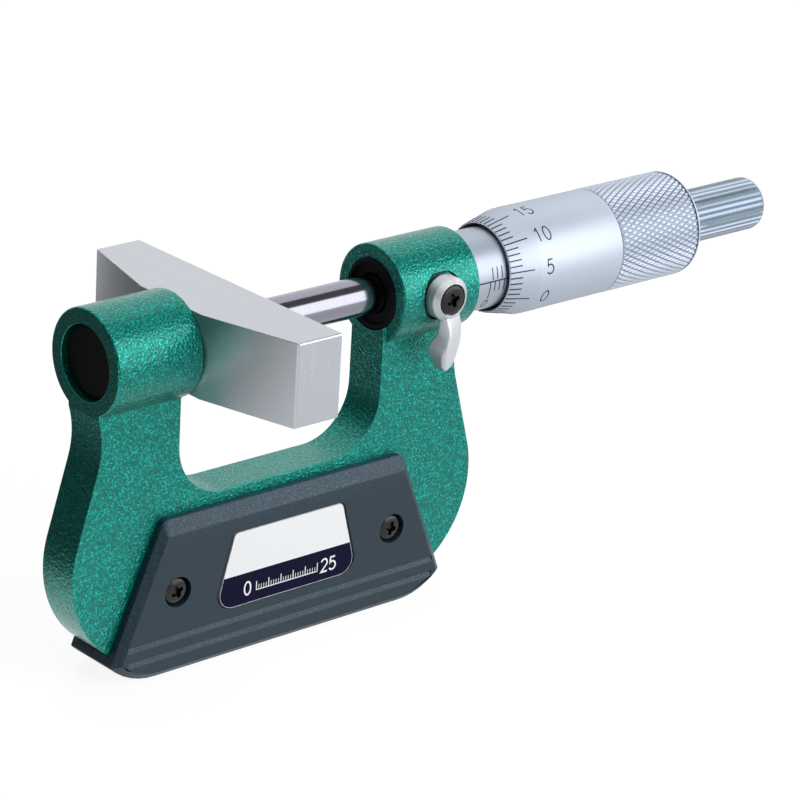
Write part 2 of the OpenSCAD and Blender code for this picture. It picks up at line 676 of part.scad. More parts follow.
// The clutch's teeth lie in the post's, turned and lifted by their clearance
module ratchet_clutch() color("#8f959b") difference() {
    union() {
        rod(crown_x, crown_x + tooth_h + clutch_t, knob_bore_d - 2 * slip);
        for (side = [0, 180]) rotate([side, 0, 0])
            translate([crown_x + tooth_h, 0, -key_w / 2])
                cube([clutch_t, knob_bore_d / 2 + key_h, key_w]);
    }
    rod(crown_x - over, crown_x + tooth_h + clutch_t + over, axle_d + 2 * slip);
    translate([crown_x + tooth_gap + tooth_h * tooth_turn * ratchet_teeth / 360, 0, 0])
        rotate([tooth_turn, 0, 0]) crown(axle_d / 4, knob_d, over);
}

// A round wire wound along X from x0 to x1
module coil(x0, x1, mean_r, wire_r, turns) {
    sides = 6;
    steps = turns * 16;
    function wire_at(i, j) =
        let (a = i * 360 * turns / steps, b = j * 360 / sides, r = mean_r + wire_r * cos(b))
        [x0 + wire_r + (x1 - x0 - 2 * wire_r) * i / steps + wire_r * sin(b), r * cos(a), r * sin(a)];
    points = [for (i = [0:steps], j = [0:sides - 1]) wire_at(i, j)];
    sleeve = [for (i = [0:steps - 1], j = [0:sides - 1])
        let (k = (j + 1) % sides, a = i * sides + j, b = i * sides + k)
        each [[a, b, b + sides], [a, b + sides, a + sides]]];
    caps = [[for (j = [sides - 1:-1:0]) j], [for (j = [0:sides - 1]) steps * sides + j]];
    polyhedron(points, concat(sleeve, caps));
}

module ratchet_spring() color("#a7acb1")
    coil(crown_x + tooth_h + clutch_t + tooth_h + 0.05, knob_floor - slip,
         (knob_bore_d + axle_d) / 4, wire_d / 2, spring_turns);

module ratchet_knob() color("#aebac4") difference() {
    r = knob_d / 2;
    rim = [for (a = [0:15:90]) [knob_end - rim_r + rim_r * sin(a), r - rim_r + rim_r * cos(a)]];
    turned(concat(
        [[knob_x, knob_bore_d / 2], [knob_x, collar_d / 2 - edge], [knob_x + edge, collar_d / 2],
         [knob_x + collar_l, collar_d / 2], [knob_x + collar_l + edge, r]],
        rim,
        [[knob_end, screw_pocket_d / 2], [knob_end - screw_pocket, screw_pocket_d / 2],
         [knob_end - screw_pocket, axle_d / 2 + slip], [knob_floor, axle_d / 2 + slip],
         [knob_floor, knob_bore_d / 2]]));
    for (i = [0:knob_n - 1]) rotate([i * 360 / knob_n, 0, 0])
        translate([knob_x + collar_l - over, r - groove_depth, 0]) rotate([-45, 0, 0])
            cube([knob_l, groove_w, groove_w]);
    for (side = [0, 180]) rotate([side, 0, 0])
        translate([knob_x - over, 0, -key_w / 2 - slip])
            cube([over + key_slot_l, knob_bore_d / 2 + key_h + slip, key_w + 2 * slip]);
}

module ratchet_screw() color("#8d9196") translate([knob_end - screw_pocket + slip, 0, 0]) rotate([0, 90, 0])
    difference() {
        union() {
            cylinder(h = screw_pocket - 0.3, d = screw_pocket_d - 2 * pass);
            translate([0, 0, -screw_thread_l]) cylinder(h = screw_thread_l + edge, d = screw_thread_d);
        }
        translate([-screw_pocket_d, -0.4, screw_pocket - 1]) cube([2 * screw_pocket_d, 0.8, 2]);
    }

frame();
anvil();
anvil_screw();
anvil_plug();
spindle_ring();
inner_sleeve();
taper_nut();
outer_sleeve();
front_cover();
rear_cover();
front_cover_screws();
rear_cover_screws();
label_plate();
lock_pad();
lock_washer();
lock_stud();
lock_lever();
lock_screw();
spindle();
spindle_tip();
thimble();
ratchet_post();
ratchet_clutch();
ratchet_spring();
ratchet_knob();
ratchet_screw();
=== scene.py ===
"""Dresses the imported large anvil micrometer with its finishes, scales, knurl, lights and camera."""
from math import atan2, ceil, cos, pi, radians, sin, tan

import bmesh
import bpy
from bpy.props import FloatProperty, FloatVectorProperty, IntProperty, PointerProperty
from mathutils import Matrix, Vector


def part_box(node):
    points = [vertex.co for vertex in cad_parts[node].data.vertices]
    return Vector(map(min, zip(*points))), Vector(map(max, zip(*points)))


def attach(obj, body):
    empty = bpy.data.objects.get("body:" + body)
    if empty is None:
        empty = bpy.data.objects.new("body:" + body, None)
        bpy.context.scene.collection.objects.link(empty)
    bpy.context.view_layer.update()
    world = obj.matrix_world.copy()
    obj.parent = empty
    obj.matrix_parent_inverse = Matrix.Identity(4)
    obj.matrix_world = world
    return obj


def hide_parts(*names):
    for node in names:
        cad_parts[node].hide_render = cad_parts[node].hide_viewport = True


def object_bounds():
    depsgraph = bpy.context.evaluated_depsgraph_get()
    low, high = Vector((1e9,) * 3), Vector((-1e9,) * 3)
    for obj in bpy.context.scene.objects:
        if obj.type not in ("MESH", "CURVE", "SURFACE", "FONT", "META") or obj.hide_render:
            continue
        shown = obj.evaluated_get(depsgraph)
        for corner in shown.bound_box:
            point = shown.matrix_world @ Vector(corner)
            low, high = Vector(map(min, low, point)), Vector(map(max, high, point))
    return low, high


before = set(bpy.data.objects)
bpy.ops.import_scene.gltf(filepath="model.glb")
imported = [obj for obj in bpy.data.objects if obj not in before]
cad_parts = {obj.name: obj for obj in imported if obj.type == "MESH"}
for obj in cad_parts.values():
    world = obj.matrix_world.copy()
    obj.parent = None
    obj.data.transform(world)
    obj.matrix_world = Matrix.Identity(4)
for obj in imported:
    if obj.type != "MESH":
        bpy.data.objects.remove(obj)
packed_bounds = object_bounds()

bl_info = {
    "name": "Large anvil micrometer",
    "version": (1, 0, 0),
    "blender": (4, 5, 0),
    "location": "View3D > Sidebar > Micrometer",
    "description": "Builds the finished pieces of a large anvil micrometer on its packed frame",
    "category": "Object",
}

MM = 0.001
# Corners closer than this, in metres, are one
MERGE = 1e-6
# On the casting, steps smaller than this, in metres, are left to its rounded edges
CLOSE = 3e-5
# Faces that lean less than this to each other, in degrees, are one flat face
FLAT = 0.5
# Height of the scales' ink over the metal, in millimetres
INK = 0.012
WHITE = (1, 1, 1, 1)


def span(node, axis):
    """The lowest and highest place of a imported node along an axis, in millimetres."""
    low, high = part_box(node)
    return low[axis] / MM, high[axis] / MM


def radius(node):
    """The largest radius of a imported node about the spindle's axis, in millimetres."""
    return max(Vector((0, v.co.y, v.co.z)).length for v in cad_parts[node].data.vertices) / MM


THIMBLE_X, THIMBLE_END = span("thimble", 0)
SLEEVE_X, SLEEVE_END = span("outer_sleeve", 0)
SLEEVE_R = radius("outer_sleeve")
KNOB_X, KNOB_END = span("ratchet_knob", 0)
# Radii of the two bosses of the frame, and the free space round the lever's hub in its pocket
SPINDLE_BOSS_R, ANVIL_BOSS_R, POCKET_SLACK = 8.15, 8.55, 0.35


# Sizes and colours that a user would change

def length(name, value, description):
    """A length property from millimetres."""
    return FloatProperty(name=name, description=description, default=value * MM, unit="LENGTH", precision=5)


def shade(name, red, green, blue, description):
    """A colour property from the sRGB values 0 to 255 that it shows as."""
    return FloatVectorProperty(name=name, description=description, default=linear(red, green, blue),
                               subtype="COLOR", size=4, min=0, max=1)


def linear(*channels):
    """The linear RGBA colour of three sRGB values from 0 to 255."""
    def one(value):
        value /= 255
        return value / 12.92 if value <= 0.04045 else ((value + 0.055) / 1.055) ** 2.4
    return (*[one(c) for c in channels], 1.0)


class ThimbleSizes(bpy.types.PropertyGroup):
    """Sizes of the thimble and of its knurl"""

    bore: length("Bore", 14.3, "Diameter inside the thimble")
    edge: length("Edge", 15.04, "Diameter of the thimble's front edge")
    body: length("Body", 17.76, "Diameter of the thimble")
    bevel: length("Bevel", 5.7, "Length of the graduated bevel")
    knurl_start: length("Knurl start", 24.4, "Distance from the front edge to the knurl")
    knurl_end: length("Plain end", 0.75, "Plain length behind the knurl")
    knurl_depth: length("Knurl depth", 0.3, "Depth of the grooves between the diamonds")
    rim: length("Rim", 0.7, "Radius of the rounded rear edge")
    diamonds: IntProperty(name="Diamonds", description="Diamonds round the thimble", default=56,
                          min=40, max=70)
    rows: IntProperty(name="Rows", description="Rows of diamonds along the thimble", default=9, min=6, max=14)
    steps: IntProperty(name="Steps", description="Mesh steps across one diamond", default=8, min=4, max=8)


class KnobSizes(bpy.types.PropertyGroup):
    """Sizes of the ratchet's knob"""

    diameter: length("Diameter", 9.16, "Diameter of the knob")
    collar: length("Collar", 1.2, "Length of the plain collar in front of the flutes")
    rim: length("Rim", 1.3, "Radius of the rounded rear edge")
    flutes: IntProperty(name="Flutes", description="Grooves round the knob", default=30, min=16, max=48)
    depth: length("Flute depth", 0.26, "Depth of the grooves")


class ScaleSizes(bpy.types.PropertyGroup):
    """Sizes of the graduations on the sleeve and the thimble"""

    zero_in: length("Zero", 3.56, "Distance from the boss to the sleeve's zero mark")
    thimble_line: length("Thimble line", 0.19, "Width of a line on the thimble")
    thimble_short: length("Thimble short", 2.2, "Length of a short line on the thimble")
    thimble_long: length("Thimble long", 4.35, "Length of every fifth line on the thimble")
    thimble_digit: length("Thimble number", 2.4, "Height of the numbers on the thimble")
    sleeve_line: length("Sleeve line", 0.19, "Width of a line on the sleeve")
    sleeve_short: length("Sleeve short", 1.8, "Length of a short line on the sleeve")
    sleeve_long: length("Sleeve long", 3.1, "Length of every fifth line on the sleeve")
    half_length: length("Half line", 2.05, "Length of a half millimetre line on the sleeve")
    sleeve_digit: length("Sleeve number", 1.75, "Height of the numbers on the sleeve")
    index_turn: FloatProperty(name="Index turn", description="Turn of the index line above the front",
                              default=radians(1.45), subtype="ANGLE")
    reading: IntProperty(name="Reading", description="The thimble's division at the index line", default=4,
                         min=0, max=49)
    divisions: IntProperty(name="Divisions", description="Divisions round the thimble", default=50)
    travel: IntProperty(name="Range", description="Millimetres on the sleeve", default=25)


class FinishColours(bpy.types.PropertyGroup):
    """Colours of the finishes"""

    paint: shade("Paint", 0, 122, 109, "The hammered green paint of the frame")
    paint_fleck: shade("Paint fleck", 22, 216, 202, "The bright flecks in the paint")
    steel: shade("Steel", 205, 210, 217, "The ground anvil")
    spindle: shade("Spindle", 172, 172, 186, "The polished spindle")
    chrome: shade("Satin chrome", 200, 211, 226, "The sleeve and the thimble")
    # Painted shade in the knurl's grooves
    knurl_valley: shade("Knurl valley", 104, 118, 148, "The grooves of the knurl")
    knob: shade("Knob", 150, 164, 178, "The ratchet's knob")
    carbide: shade("Hard metal", 120, 124, 128, "The spindle's tip")
    brass: shade("Brass", 186, 150, 84, "The lock's pad")
    turned: shade("Turned steel", 150, 154, 158, "The steel pieces inside")
    lever: shade("Lever", 216, 220, 224, "The lock's lever")
    cover: shade("Cover", 26, 44, 55, "The insulating covers")
    black: shade("Black", 8, 8, 8, "Plug, ring and screws")
    ink: shade("Ink", 22, 27, 54, "The lines and numbers of the scales")
    field: shade("Field", 8, 10, 40, "The lower field of the label")
    white: shade("White", 250, 252, 254, "The upper field and the lines of the label")


class StageSizes(bpy.types.PropertyGroup):
    """Camera and studio"""

    azimuth: FloatProperty(name="Azimuth", description="Turn of the camera about Z", subtype="ANGLE",
                           default=radians(-42.411))
    elevation: FloatProperty(name="Elevation", description="Height of the camera as an angle",
                             subtype="ANGLE", default=radians(21.486))
    roll: FloatProperty(name="Roll", description="Turn of the camera about its own axis", subtype="ANGLE",
                        default=radians(3.438))
    lens: FloatProperty(name="Lens", description="Focal length on a 36 mm sensor", default=163.0,
                        subtype="DISTANCE_CAMERA")
    place: FloatVectorProperty(name="Place", description="Where the camera stands", subtype="TRANSLATION",
                               default=(-0.3342, -0.4042, 0.1956))
    world: FloatProperty(name="World", description="Strength of the world's soft light", default=0.06)
    softbox: FloatProperty(name="Softbox", description="Power of the large softbox", default=2.4,
                           unit="POWER")
    fill: FloatProperty(name="Fill", description="Power of the front's fill light", default=4.5, unit="POWER")
    overhead: FloatProperty(name="Overhead", description="Power of the light above", default=2.4,
                            unit="POWER")


def look():
    """The colours that the finishes take."""
    return bpy.context.scene.micrometer_finish


# Meshes

def add_object(name, data):
    """A new object in the scene, with its mesh, lamp or camera."""
    obj = bpy.data.objects.new(name, data)
    bpy.context.scene.collection.objects.link(obj)
    return obj


def mesh_of(name, shape, material):
    """An object from a closed shape, with its faces turned outwards."""
    bmesh.ops.recalc_face_normals(shape, faces=shape.faces)
    mesh = bpy.data.meshes.new(name)
    shape.to_mesh(mesh)
    shape.free()
    mesh.materials.append(material)
    return add_object(name, mesh)


def place_piece(obj, body, nodes=()):
    """Lets a piece stand for its nodes and ride on its body."""
    if nodes:
        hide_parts(*nodes)
    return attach(obj, body)


def plain_mesh(obj):
    """Turns an object and its modifiers into a plain mesh."""
    bpy.context.view_layer.update()
    mesh = bpy.data.meshes.new_from_object(obj.evaluated_get(bpy.context.evaluated_depsgraph_get()))
    obj.modifiers.clear()
    obj.data = mesh
    mesh.name = obj.name
    return obj


def smooth(mesh, angle=30):
    """Shades a mesh smooth up to an angle in degrees, past which an edge stays sharp."""
    mesh.shade_smooth()
    mesh.set_sharp_from_angle(angle=radians(angle))


def soften(obj, bevel, segments, angle):
    """Rounds the edges that are sharper than an angle, by a width in millimetres."""
    soft = obj.modifiers.new("Soft edges", "BEVEL")
    soft.width = bevel * MM
    soft.segments = segments
    soft.limit_method = "ANGLE"
    soft.angle_limit = radians(angle)
    soft.use_clamp_overlap = False
    soft.loop_slide = False
    return plain_mesh(obj)


def weigh_normals(obj):
    """Lets the large faces keep their flat look beside the small ones that round their edges."""
    weigh = obj.modifiers.new("Flat faces", "WEIGHTED_NORMAL")
    weigh.keep_sharp = True
    return plain_mesh(obj)


def finished_copy(node, name, material, bevel=0.0, segments=3, angle=30, merge=MERGE):
    """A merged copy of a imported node, with its edges rounded by a bevel in millimetres.

    Past about 0.17 mm a bevel would fold over the chamfers that the solids' rims already have.
    """
    mesh = bpy.data.meshes.new(name)
    shape = bmesh.new()
    shape.from_mesh(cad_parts[node].data)
    bmesh.ops.remove_doubles(shape, verts=shape.verts, dist=merge)
    bmesh.ops.dissolve_limit(shape, angle_limit=radians(FLAT), verts=shape.verts, edges=shape.edges)
    shape.to_mesh(mesh)
    shape.free()
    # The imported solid's own normals would show its triangles
    for extra in [a.name for a in mesh.attributes if a.name in ("custom_normal", "sharp_face")]:
        mesh.attributes.remove(mesh.attributes[extra])
    mesh.materials.clear()
    mesh.materials.append(material)
    obj = add_object(name, mesh)
    for polygon in mesh.polygons:
        polygon.material_index = 0
    if bevel:
        soften(obj, bevel, segments, angle)
    smooth(obj.data, angle)
    return weigh_normals(obj)


def true_round(obj, radii, within=0.05, lean=20):
    """Gives the bosses about the spindle's axis the normals of true cylinders.

    A corner counts where it lies within so many millimetres of a radius, on a face that leans less than so
    many degrees from it.
    """
    mesh = obj.data
    normals = [corner.vector.copy() for corner in mesh.corner_normals]
    for polygon in mesh.polygons:
        outward = Vector((0, polygon.center.y, polygon.center.z)).normalized()
        if polygon.normal.dot(outward) < cos(radians(lean)):
            continue
        for corner in polygon.loop_indices:
            place = mesh.vertices[mesh.loops[corner].vertex_index].co / MM
            r = Vector((0, place.y, place.z))
            if any(abs(r.length - value) < within for value in radii):
                normals[corner] = r.normalized()
    mesh.normals_split_custom_set(normals)


def about_spindle(along, r, a):
    """A place along the spindle, at a radius and at an angle that starts at the front."""
    return Vector((along, -r * cos(a), r * sin(a))) * MM


def about_cross(x, z, side=1):
    """A place about an axis along Y through x and z, on the front or, with side -1, on the back."""
    def place(along, r, a):
        return Vector((x + r * cos(a), -side * along, z + r * sin(a))) * MM
    return place


def lathe(name, profile, material, steps=192, place=about_spindle, angle=20):
    """A closed body turned from a closed outline of [along, radius] in millimetres."""
    shape = bmesh.new()
    rings = []
    for i in range(steps):
        a = 2 * pi * i / steps
        rings.append([shape.verts.new(place(x, r, a)) for x, r in profile])
    for i in range(steps):
        here, there = rings[i], rings[(i + 1) % steps]
        for j in range(len(profile)):
            k = (j + 1) % len(profile)
            shape.faces.new((here[j], here[k], there[k], there[j]))
    # Points on the axis come together, and the faces that shrink to nothing there go
    bmesh.ops.remove_doubles(shape, verts=shape.verts, dist=MERGE)
    bmesh.ops.dissolve_degenerate(shape, edges=shape.edges, dist=MERGE)
    obj = mesh_of(name, shape, material)
    smooth(obj.data, angle)
    return obj


def rounded_end(end, r, rim, steps=8):
    """The rounded rear edge of a turned body, as places of its outline."""
    return [(end - rim + rim * sin(a), r - rim + rim * cos(a))
            for a in [radians(90 * i / steps) for i in range(steps + 1)]]


def rounded_outline(corners, steps=8):
    """A closed outline from (x, z, radius) corners, with its corners rounded."""
    outline = []
    n = len(corners)
    for i, (x, z, r) in enumerate(corners):
        q = Vector((x, z))
        d1 = (Vector(corners[i - 1][:2]) - q).normalized()
        d2 = (Vector(corners[(i + 1) % n][:2]) - q).normalized()
        half = d1.angle(d2) / 2
        centre = q + (d1 + d2).normalized() * (r / sin(half))
        v1 = q + d1 * (r / tan(half)) - centre
        v2 = q + d2 * (r / tan(half)) - centre
        a1, a2 = atan2(v1.y, v1.x), atan2(v2.y, v2.x)
        turn = (a2 - a1 + pi) % (2 * pi) - pi
        outline += [centre + Vector((cos(a), sin(a))) * r
                    for a in [a1 + turn * k / steps for k in range(steps + 1)]]
    return outline


def slab(name, outline, y0, y1, material):
    """An outline in x and z, as a closed plate from y0 to y1."""
    shape = bmesh.new()
    front = [shape.verts.new(Vector((p.x, y0, p.y)) * MM) for p in outline]
    back = [shape.verts.new(Vector((p.x, y1, p.y)) * MM) for p in outline]
    shape.faces.new(front)
    shape.faces.new(back[::-1])
    n = len(outline)
    for i in range(n):
        k = (i + 1) % n
        shape.faces.new((front[i], back[i], back[k], front[k]))
    return mesh_of(name, shape, material)


def cross_screw(name, x, z, back, rim, top, head_r, shank, side=1, turn=20):
    """A screw with a domed head and a cross recess, at the front or, with side -1, at the back."""
    shank_r, shank_end = shank
    steps, fullness, straight, crease = 10, 0.9, 0.12, 32
    quarter_turn = [radians(90 / steps * i) for i in range(steps + 1)]
    dome = [(rim + (top - rim) * sin(a), head_r * cos(a) ** fullness) for a in quarter_turn]
    outline = [(shank_end, 0), (shank_end, shank_r), (back, shank_r), (back, head_r),
               (rim - straight, head_r)] + dome
    screw = lathe(name, outline, finish("screw"), steps=96, place=about_cross(x, z, side), angle=crease)
    # The recess narrows from its mouth, above the dome, to a share of its size at its floor
    mouth, floor, share_left = top + 0.5, top - 0.75, 0.65
    wing, half = 0.6 * head_r, 0.15 * head_r
    throat = 1.5 * half
    shape = bmesh.new()
    outer = []
    for quarter in range(4):
        for u, v in ((wing, -half), (wing, half), (throat, throat)):
            outer.append((radians(90 * quarter + turn), u, v))
    rings = []
    for y, share in ((mouth, 1.0), (floor, share_left)):
        flat = [(x + share * (u * cos(a) - v * sin(a)), z + share * (u * sin(a) + v * cos(a)))
                for a, u, v in outer]
        rings.append([shape.verts.new(Vector((across, -side * y, up)) * MM) for across, up in flat])
    n = len(outer)
    for i in range(n):
        k = (i + 1) % n
        shape.faces.new((rings[0][i], rings[0][k], rings[1][k], rings[1][i]))
    shape.faces.new(rings[0])
    shape.faces.new(rings[1][::-1])
    cutter = mesh_of(name + "_cutter", shape, finish("screw"))
    cut = screw.modifiers.new("Recess", "BOOLEAN")
    cut.operation = "DIFFERENCE"
    cut.object = cutter
    cut.solver = "EXACT"
    plain_mesh(screw)
    bpy.data.objects.remove(cutter)
    smooth(screw.data, crease)
    return screw


def join_all(name, objects):
    """One object from several, with the materials of all."""
    bpy.ops.object.select_all(action="DESELECT")
    for obj in objects:
        obj.select_set(True)
    bpy.context.view_layer.objects.active = objects[0]
    bpy.ops.object.join()
    joined = bpy.context.view_layer.objects.active
    joined.name = joined.data.name = name
    joined.select_set(False)
    return joined


# Numbers, drawn with one stroke width in a box 1 high

def arc(cx, cy, rx, ry, start, end, steps=14):
    """A part of an ellipse between two angles in degrees."""
    turn = [radians(start + (end - start) * i / steps) for i in range(steps + 1)]
    return [(cx + rx * cos(a), cy + ry * sin(a)) for a in turn]


DIGIT_W, DIGIT_GAP = 0.56, 0.22
# A stroke has no stretch longer than this, in millimetres, so that it follows a turned surface
STRETCH = 0.35
# The sharpest corners of a stroke reach out no further than this share allows
SHARPEST = 0.45
DIGITS = {
    "0": [arc(0.28, 0.5, 0.28, 0.5, 90, 450, 28)],
    "1": [[(0.08, 0.78), (0.3, 1), (0.3, 0)]],
    "2": [arc(0.28, 0.71, 0.27, 0.29, 165, -38) + [(0, 0), (0.56, 0)]],
    "3": [arc(0.26, 0.76, 0.25, 0.24, 150, -90) + arc(0.26, 0.26, 0.3, 0.26, 90, -150)],
    "4": [[(0.42, 0), (0.42, 1), (0, 0.3), (0.56, 0.3)]],
    "5": [[(0.5, 1), (0.1, 1), (0.05, 0.55)] + arc(0.26, 0.33, 0.3, 0.33, 128, -150)],
    "6": [arc(0.28, 0.31, 0.28, 0.31, 60, 420, 22), arc(0.58, 0.33, 0.58, 0.67, 105, 180)],
    "7": [[(0, 1), (0.56, 1), (0.2, 0)]],
    "8": [arc(0.28, 0.75, 0.23, 0.25, -90, 270, 20), arc(0.28, 0.25, 0.28, 0.25, 90, 450, 20)],
    "9": [arc(0.28, 0.69, 0.28, 0.31, 240, 600, 22), arc(-0.02, 0.67, 0.58, 0.67, -75, 0)],
}


def finer(points, step):
    """The same polyline with no stretch longer than step."""
    out = [points[0]]
    for p, q in zip(points, points[1:]):
        parts = max(1, ceil((Vector(q) - Vector(p)).length / step))
        out += [tuple(Vector(p).lerp(Vector(q), i / parts)) for i in range(1, parts + 1)]
    return out


def stroke(shape, points, width, top, bottom, wrap):
    """Adds a bar along a polyline, with mitred corners, placed by the function wrap.

    Where the line's two ends meet, it becomes a ring.
    """
    points = finer(points, STRETCH)
    closed = (Vector(points[0]) - Vector(points[-1])).length < 1e-4
    if closed:
        points = points[:-1]
    n = len(points)
    rows = []
    for i, p in enumerate(points):
        before = Vector(points[i - 1]) if i > 0 or closed else None
        after = Vector(points[(i + 1) % n]) if i < n - 1 or closed else None
        here = Vector(p)
        d1 = (here - before).normalized() if before is not None else (after - here).normalized()
        d2 = (after - here).normalized() if after is not None else d1
        mid = (d1 + d2).normalized()
        side = Vector((-mid.y, mid.x))
        reach = width / 2 / max(SHARPEST, side.dot(Vector((-d1.y, d1.x))))
        left, right = here + side * reach, here - side * reach
        rows.append([shape.verts.new(wrap(q.x, q.y, h))
                     for q, h in ((left, top), (right, top), (right, bottom), (left, bottom))])
    for i in range(n if closed else n - 1):
        here, there = rows[i], rows[(i + 1) % n]
        for j in range(4):
            k = (j + 1) % 4
            shape.faces.new((here[j], here[k], there[k], there[j]))
    if not closed:
        shape.faces.new(rows[0][::-1])
        shape.faces.new(rows[-1])


def number(shape, text, at, height, width, wrap, depth=0.06):
    """Adds a number centred at a place, reading along x and standing up along y."""
    total = len(text) * DIGIT_W + (len(text) - 1) * DIGIT_GAP
    for i, digit in enumerate(text):
        left = at[0] + (i * (DIGIT_W + DIGIT_GAP) - total / 2) * height
        for points in DIGITS[digit]:
            line = [(left + x * height, at[1] + (y - 0.5) * height) for x, y in points]
            stroke(shape, line, width, INK, -depth, wrap)


def turned_place(r, turn):
    """Wraps a flat place onto a turned surface: x along the spindle, y round it from the front upwards."""
    def wrap(x, y, h):
        a = turn + y / r
        return Vector((x, -(r + h) * cos(a), (r + h) * sin(a))) * MM
    return wrap


# Geometry nodes

class Tree:
    """Adds nodes to a tree and links their sockets."""

    def __init__(self, tree):
        self.tree = tree

    def add(self, kind, inputs=(), **settings):
        """A node with its settings, and with its inputs linked or set."""
        node = self.tree.nodes.new(kind)
        for key, value in settings.items():
            setattr(node, key, value)
        for key, value in dict(inputs).items():
            socket = node.inputs[key]
            if isinstance(value, bpy.types.NodeSocket):
                self.tree.links.new(value, socket)
            else:
                socket.default_value = value
        return node

    def math(self, operation, a, b=0.0, c=0.0):
        return self.add("ShaderNodeMath", {0: a, 1: b, 2: c}, operation=operation).outputs[0]

    def ramp(self, value, start, end, low=0.0, high=1.0):
        """A value that goes from low to high while another goes from start to end."""
        return self.add("ShaderNodeMapRange", {0: value, 1: start, 2: end, 3: low, 4: high}).outputs[0]

    def blend(self, share, a, b):
        """One number from two, by a share."""
        return self.add("ShaderNodeMix", {0: share, 2: a, 3: b}, data_type="FLOAT").outputs[0]

    def mix(self, mask, a, b):
        """One colour from two, by a mask."""
        return self.add("ShaderNodeMix", {0: mask, 6: a, 7: b}, data_type="RGBA").outputs[2]

    def parts(self, vector):
        """The three numbers of a vector."""
        return self.add("ShaderNodeSeparateXYZ", {0: vector}).outputs

    def vector(self, x, y, z):
        return self.add("ShaderNodeCombineXYZ", {0: x, 1: y, 2: z}).outputs[0]

    def surface(self, kind="Object"):
        """Where a material lies on its piece, or its Normal there, or the direction of a world."""
        return self.add("ShaderNodeTexCoord").outputs[kind]

    def link(self, a, b):
        self.tree.links.new(a, b)

    def finished(self, node, given, out):
        """Ends a geometry tree with real meshes and their material."""
        real = self.add("GeometryNodeRealizeInstances", {0: node.outputs[0]})
        coated = self.add("GeometryNodeSetMaterial", {"Geometry": real.outputs[0],
                                                      "Material": given["Material"]})
        self.link(coated.outputs[0], out[0])
        return self.tree


def node_group(name, kind, inputs, outputs):
    """A node group with named sockets, as its Tree, what it is given and what it puts out."""
    group = bpy.data.node_groups.new(name, kind)
    for label, socket, default in inputs:
        made = group.interface.new_socket(label, in_out="INPUT", socket_type=socket)
        if default is not None:
            made.default_value = default
    for label, socket in outputs:
        group.interface.new_socket(label, in_out="OUTPUT", socket_type=socket)
    tree = Tree(group)
    return tree, group.nodes.new("NodeGroupInput").outputs, group.nodes.new("NodeGroupOutput").inputs


def set_inputs(obj, group, values):
    """Gives a modifier's named inputs their values before it is evaluated."""
    modifier = obj.modifiers.new(group.name, "NODES")
    modifier.node_group = group
    for item in group.interface.items_tree:
        if item.item_type == "SOCKET" and item.in_out == "INPUT" and item.name in values:
            modifier[item.identifier] = values[item.name]


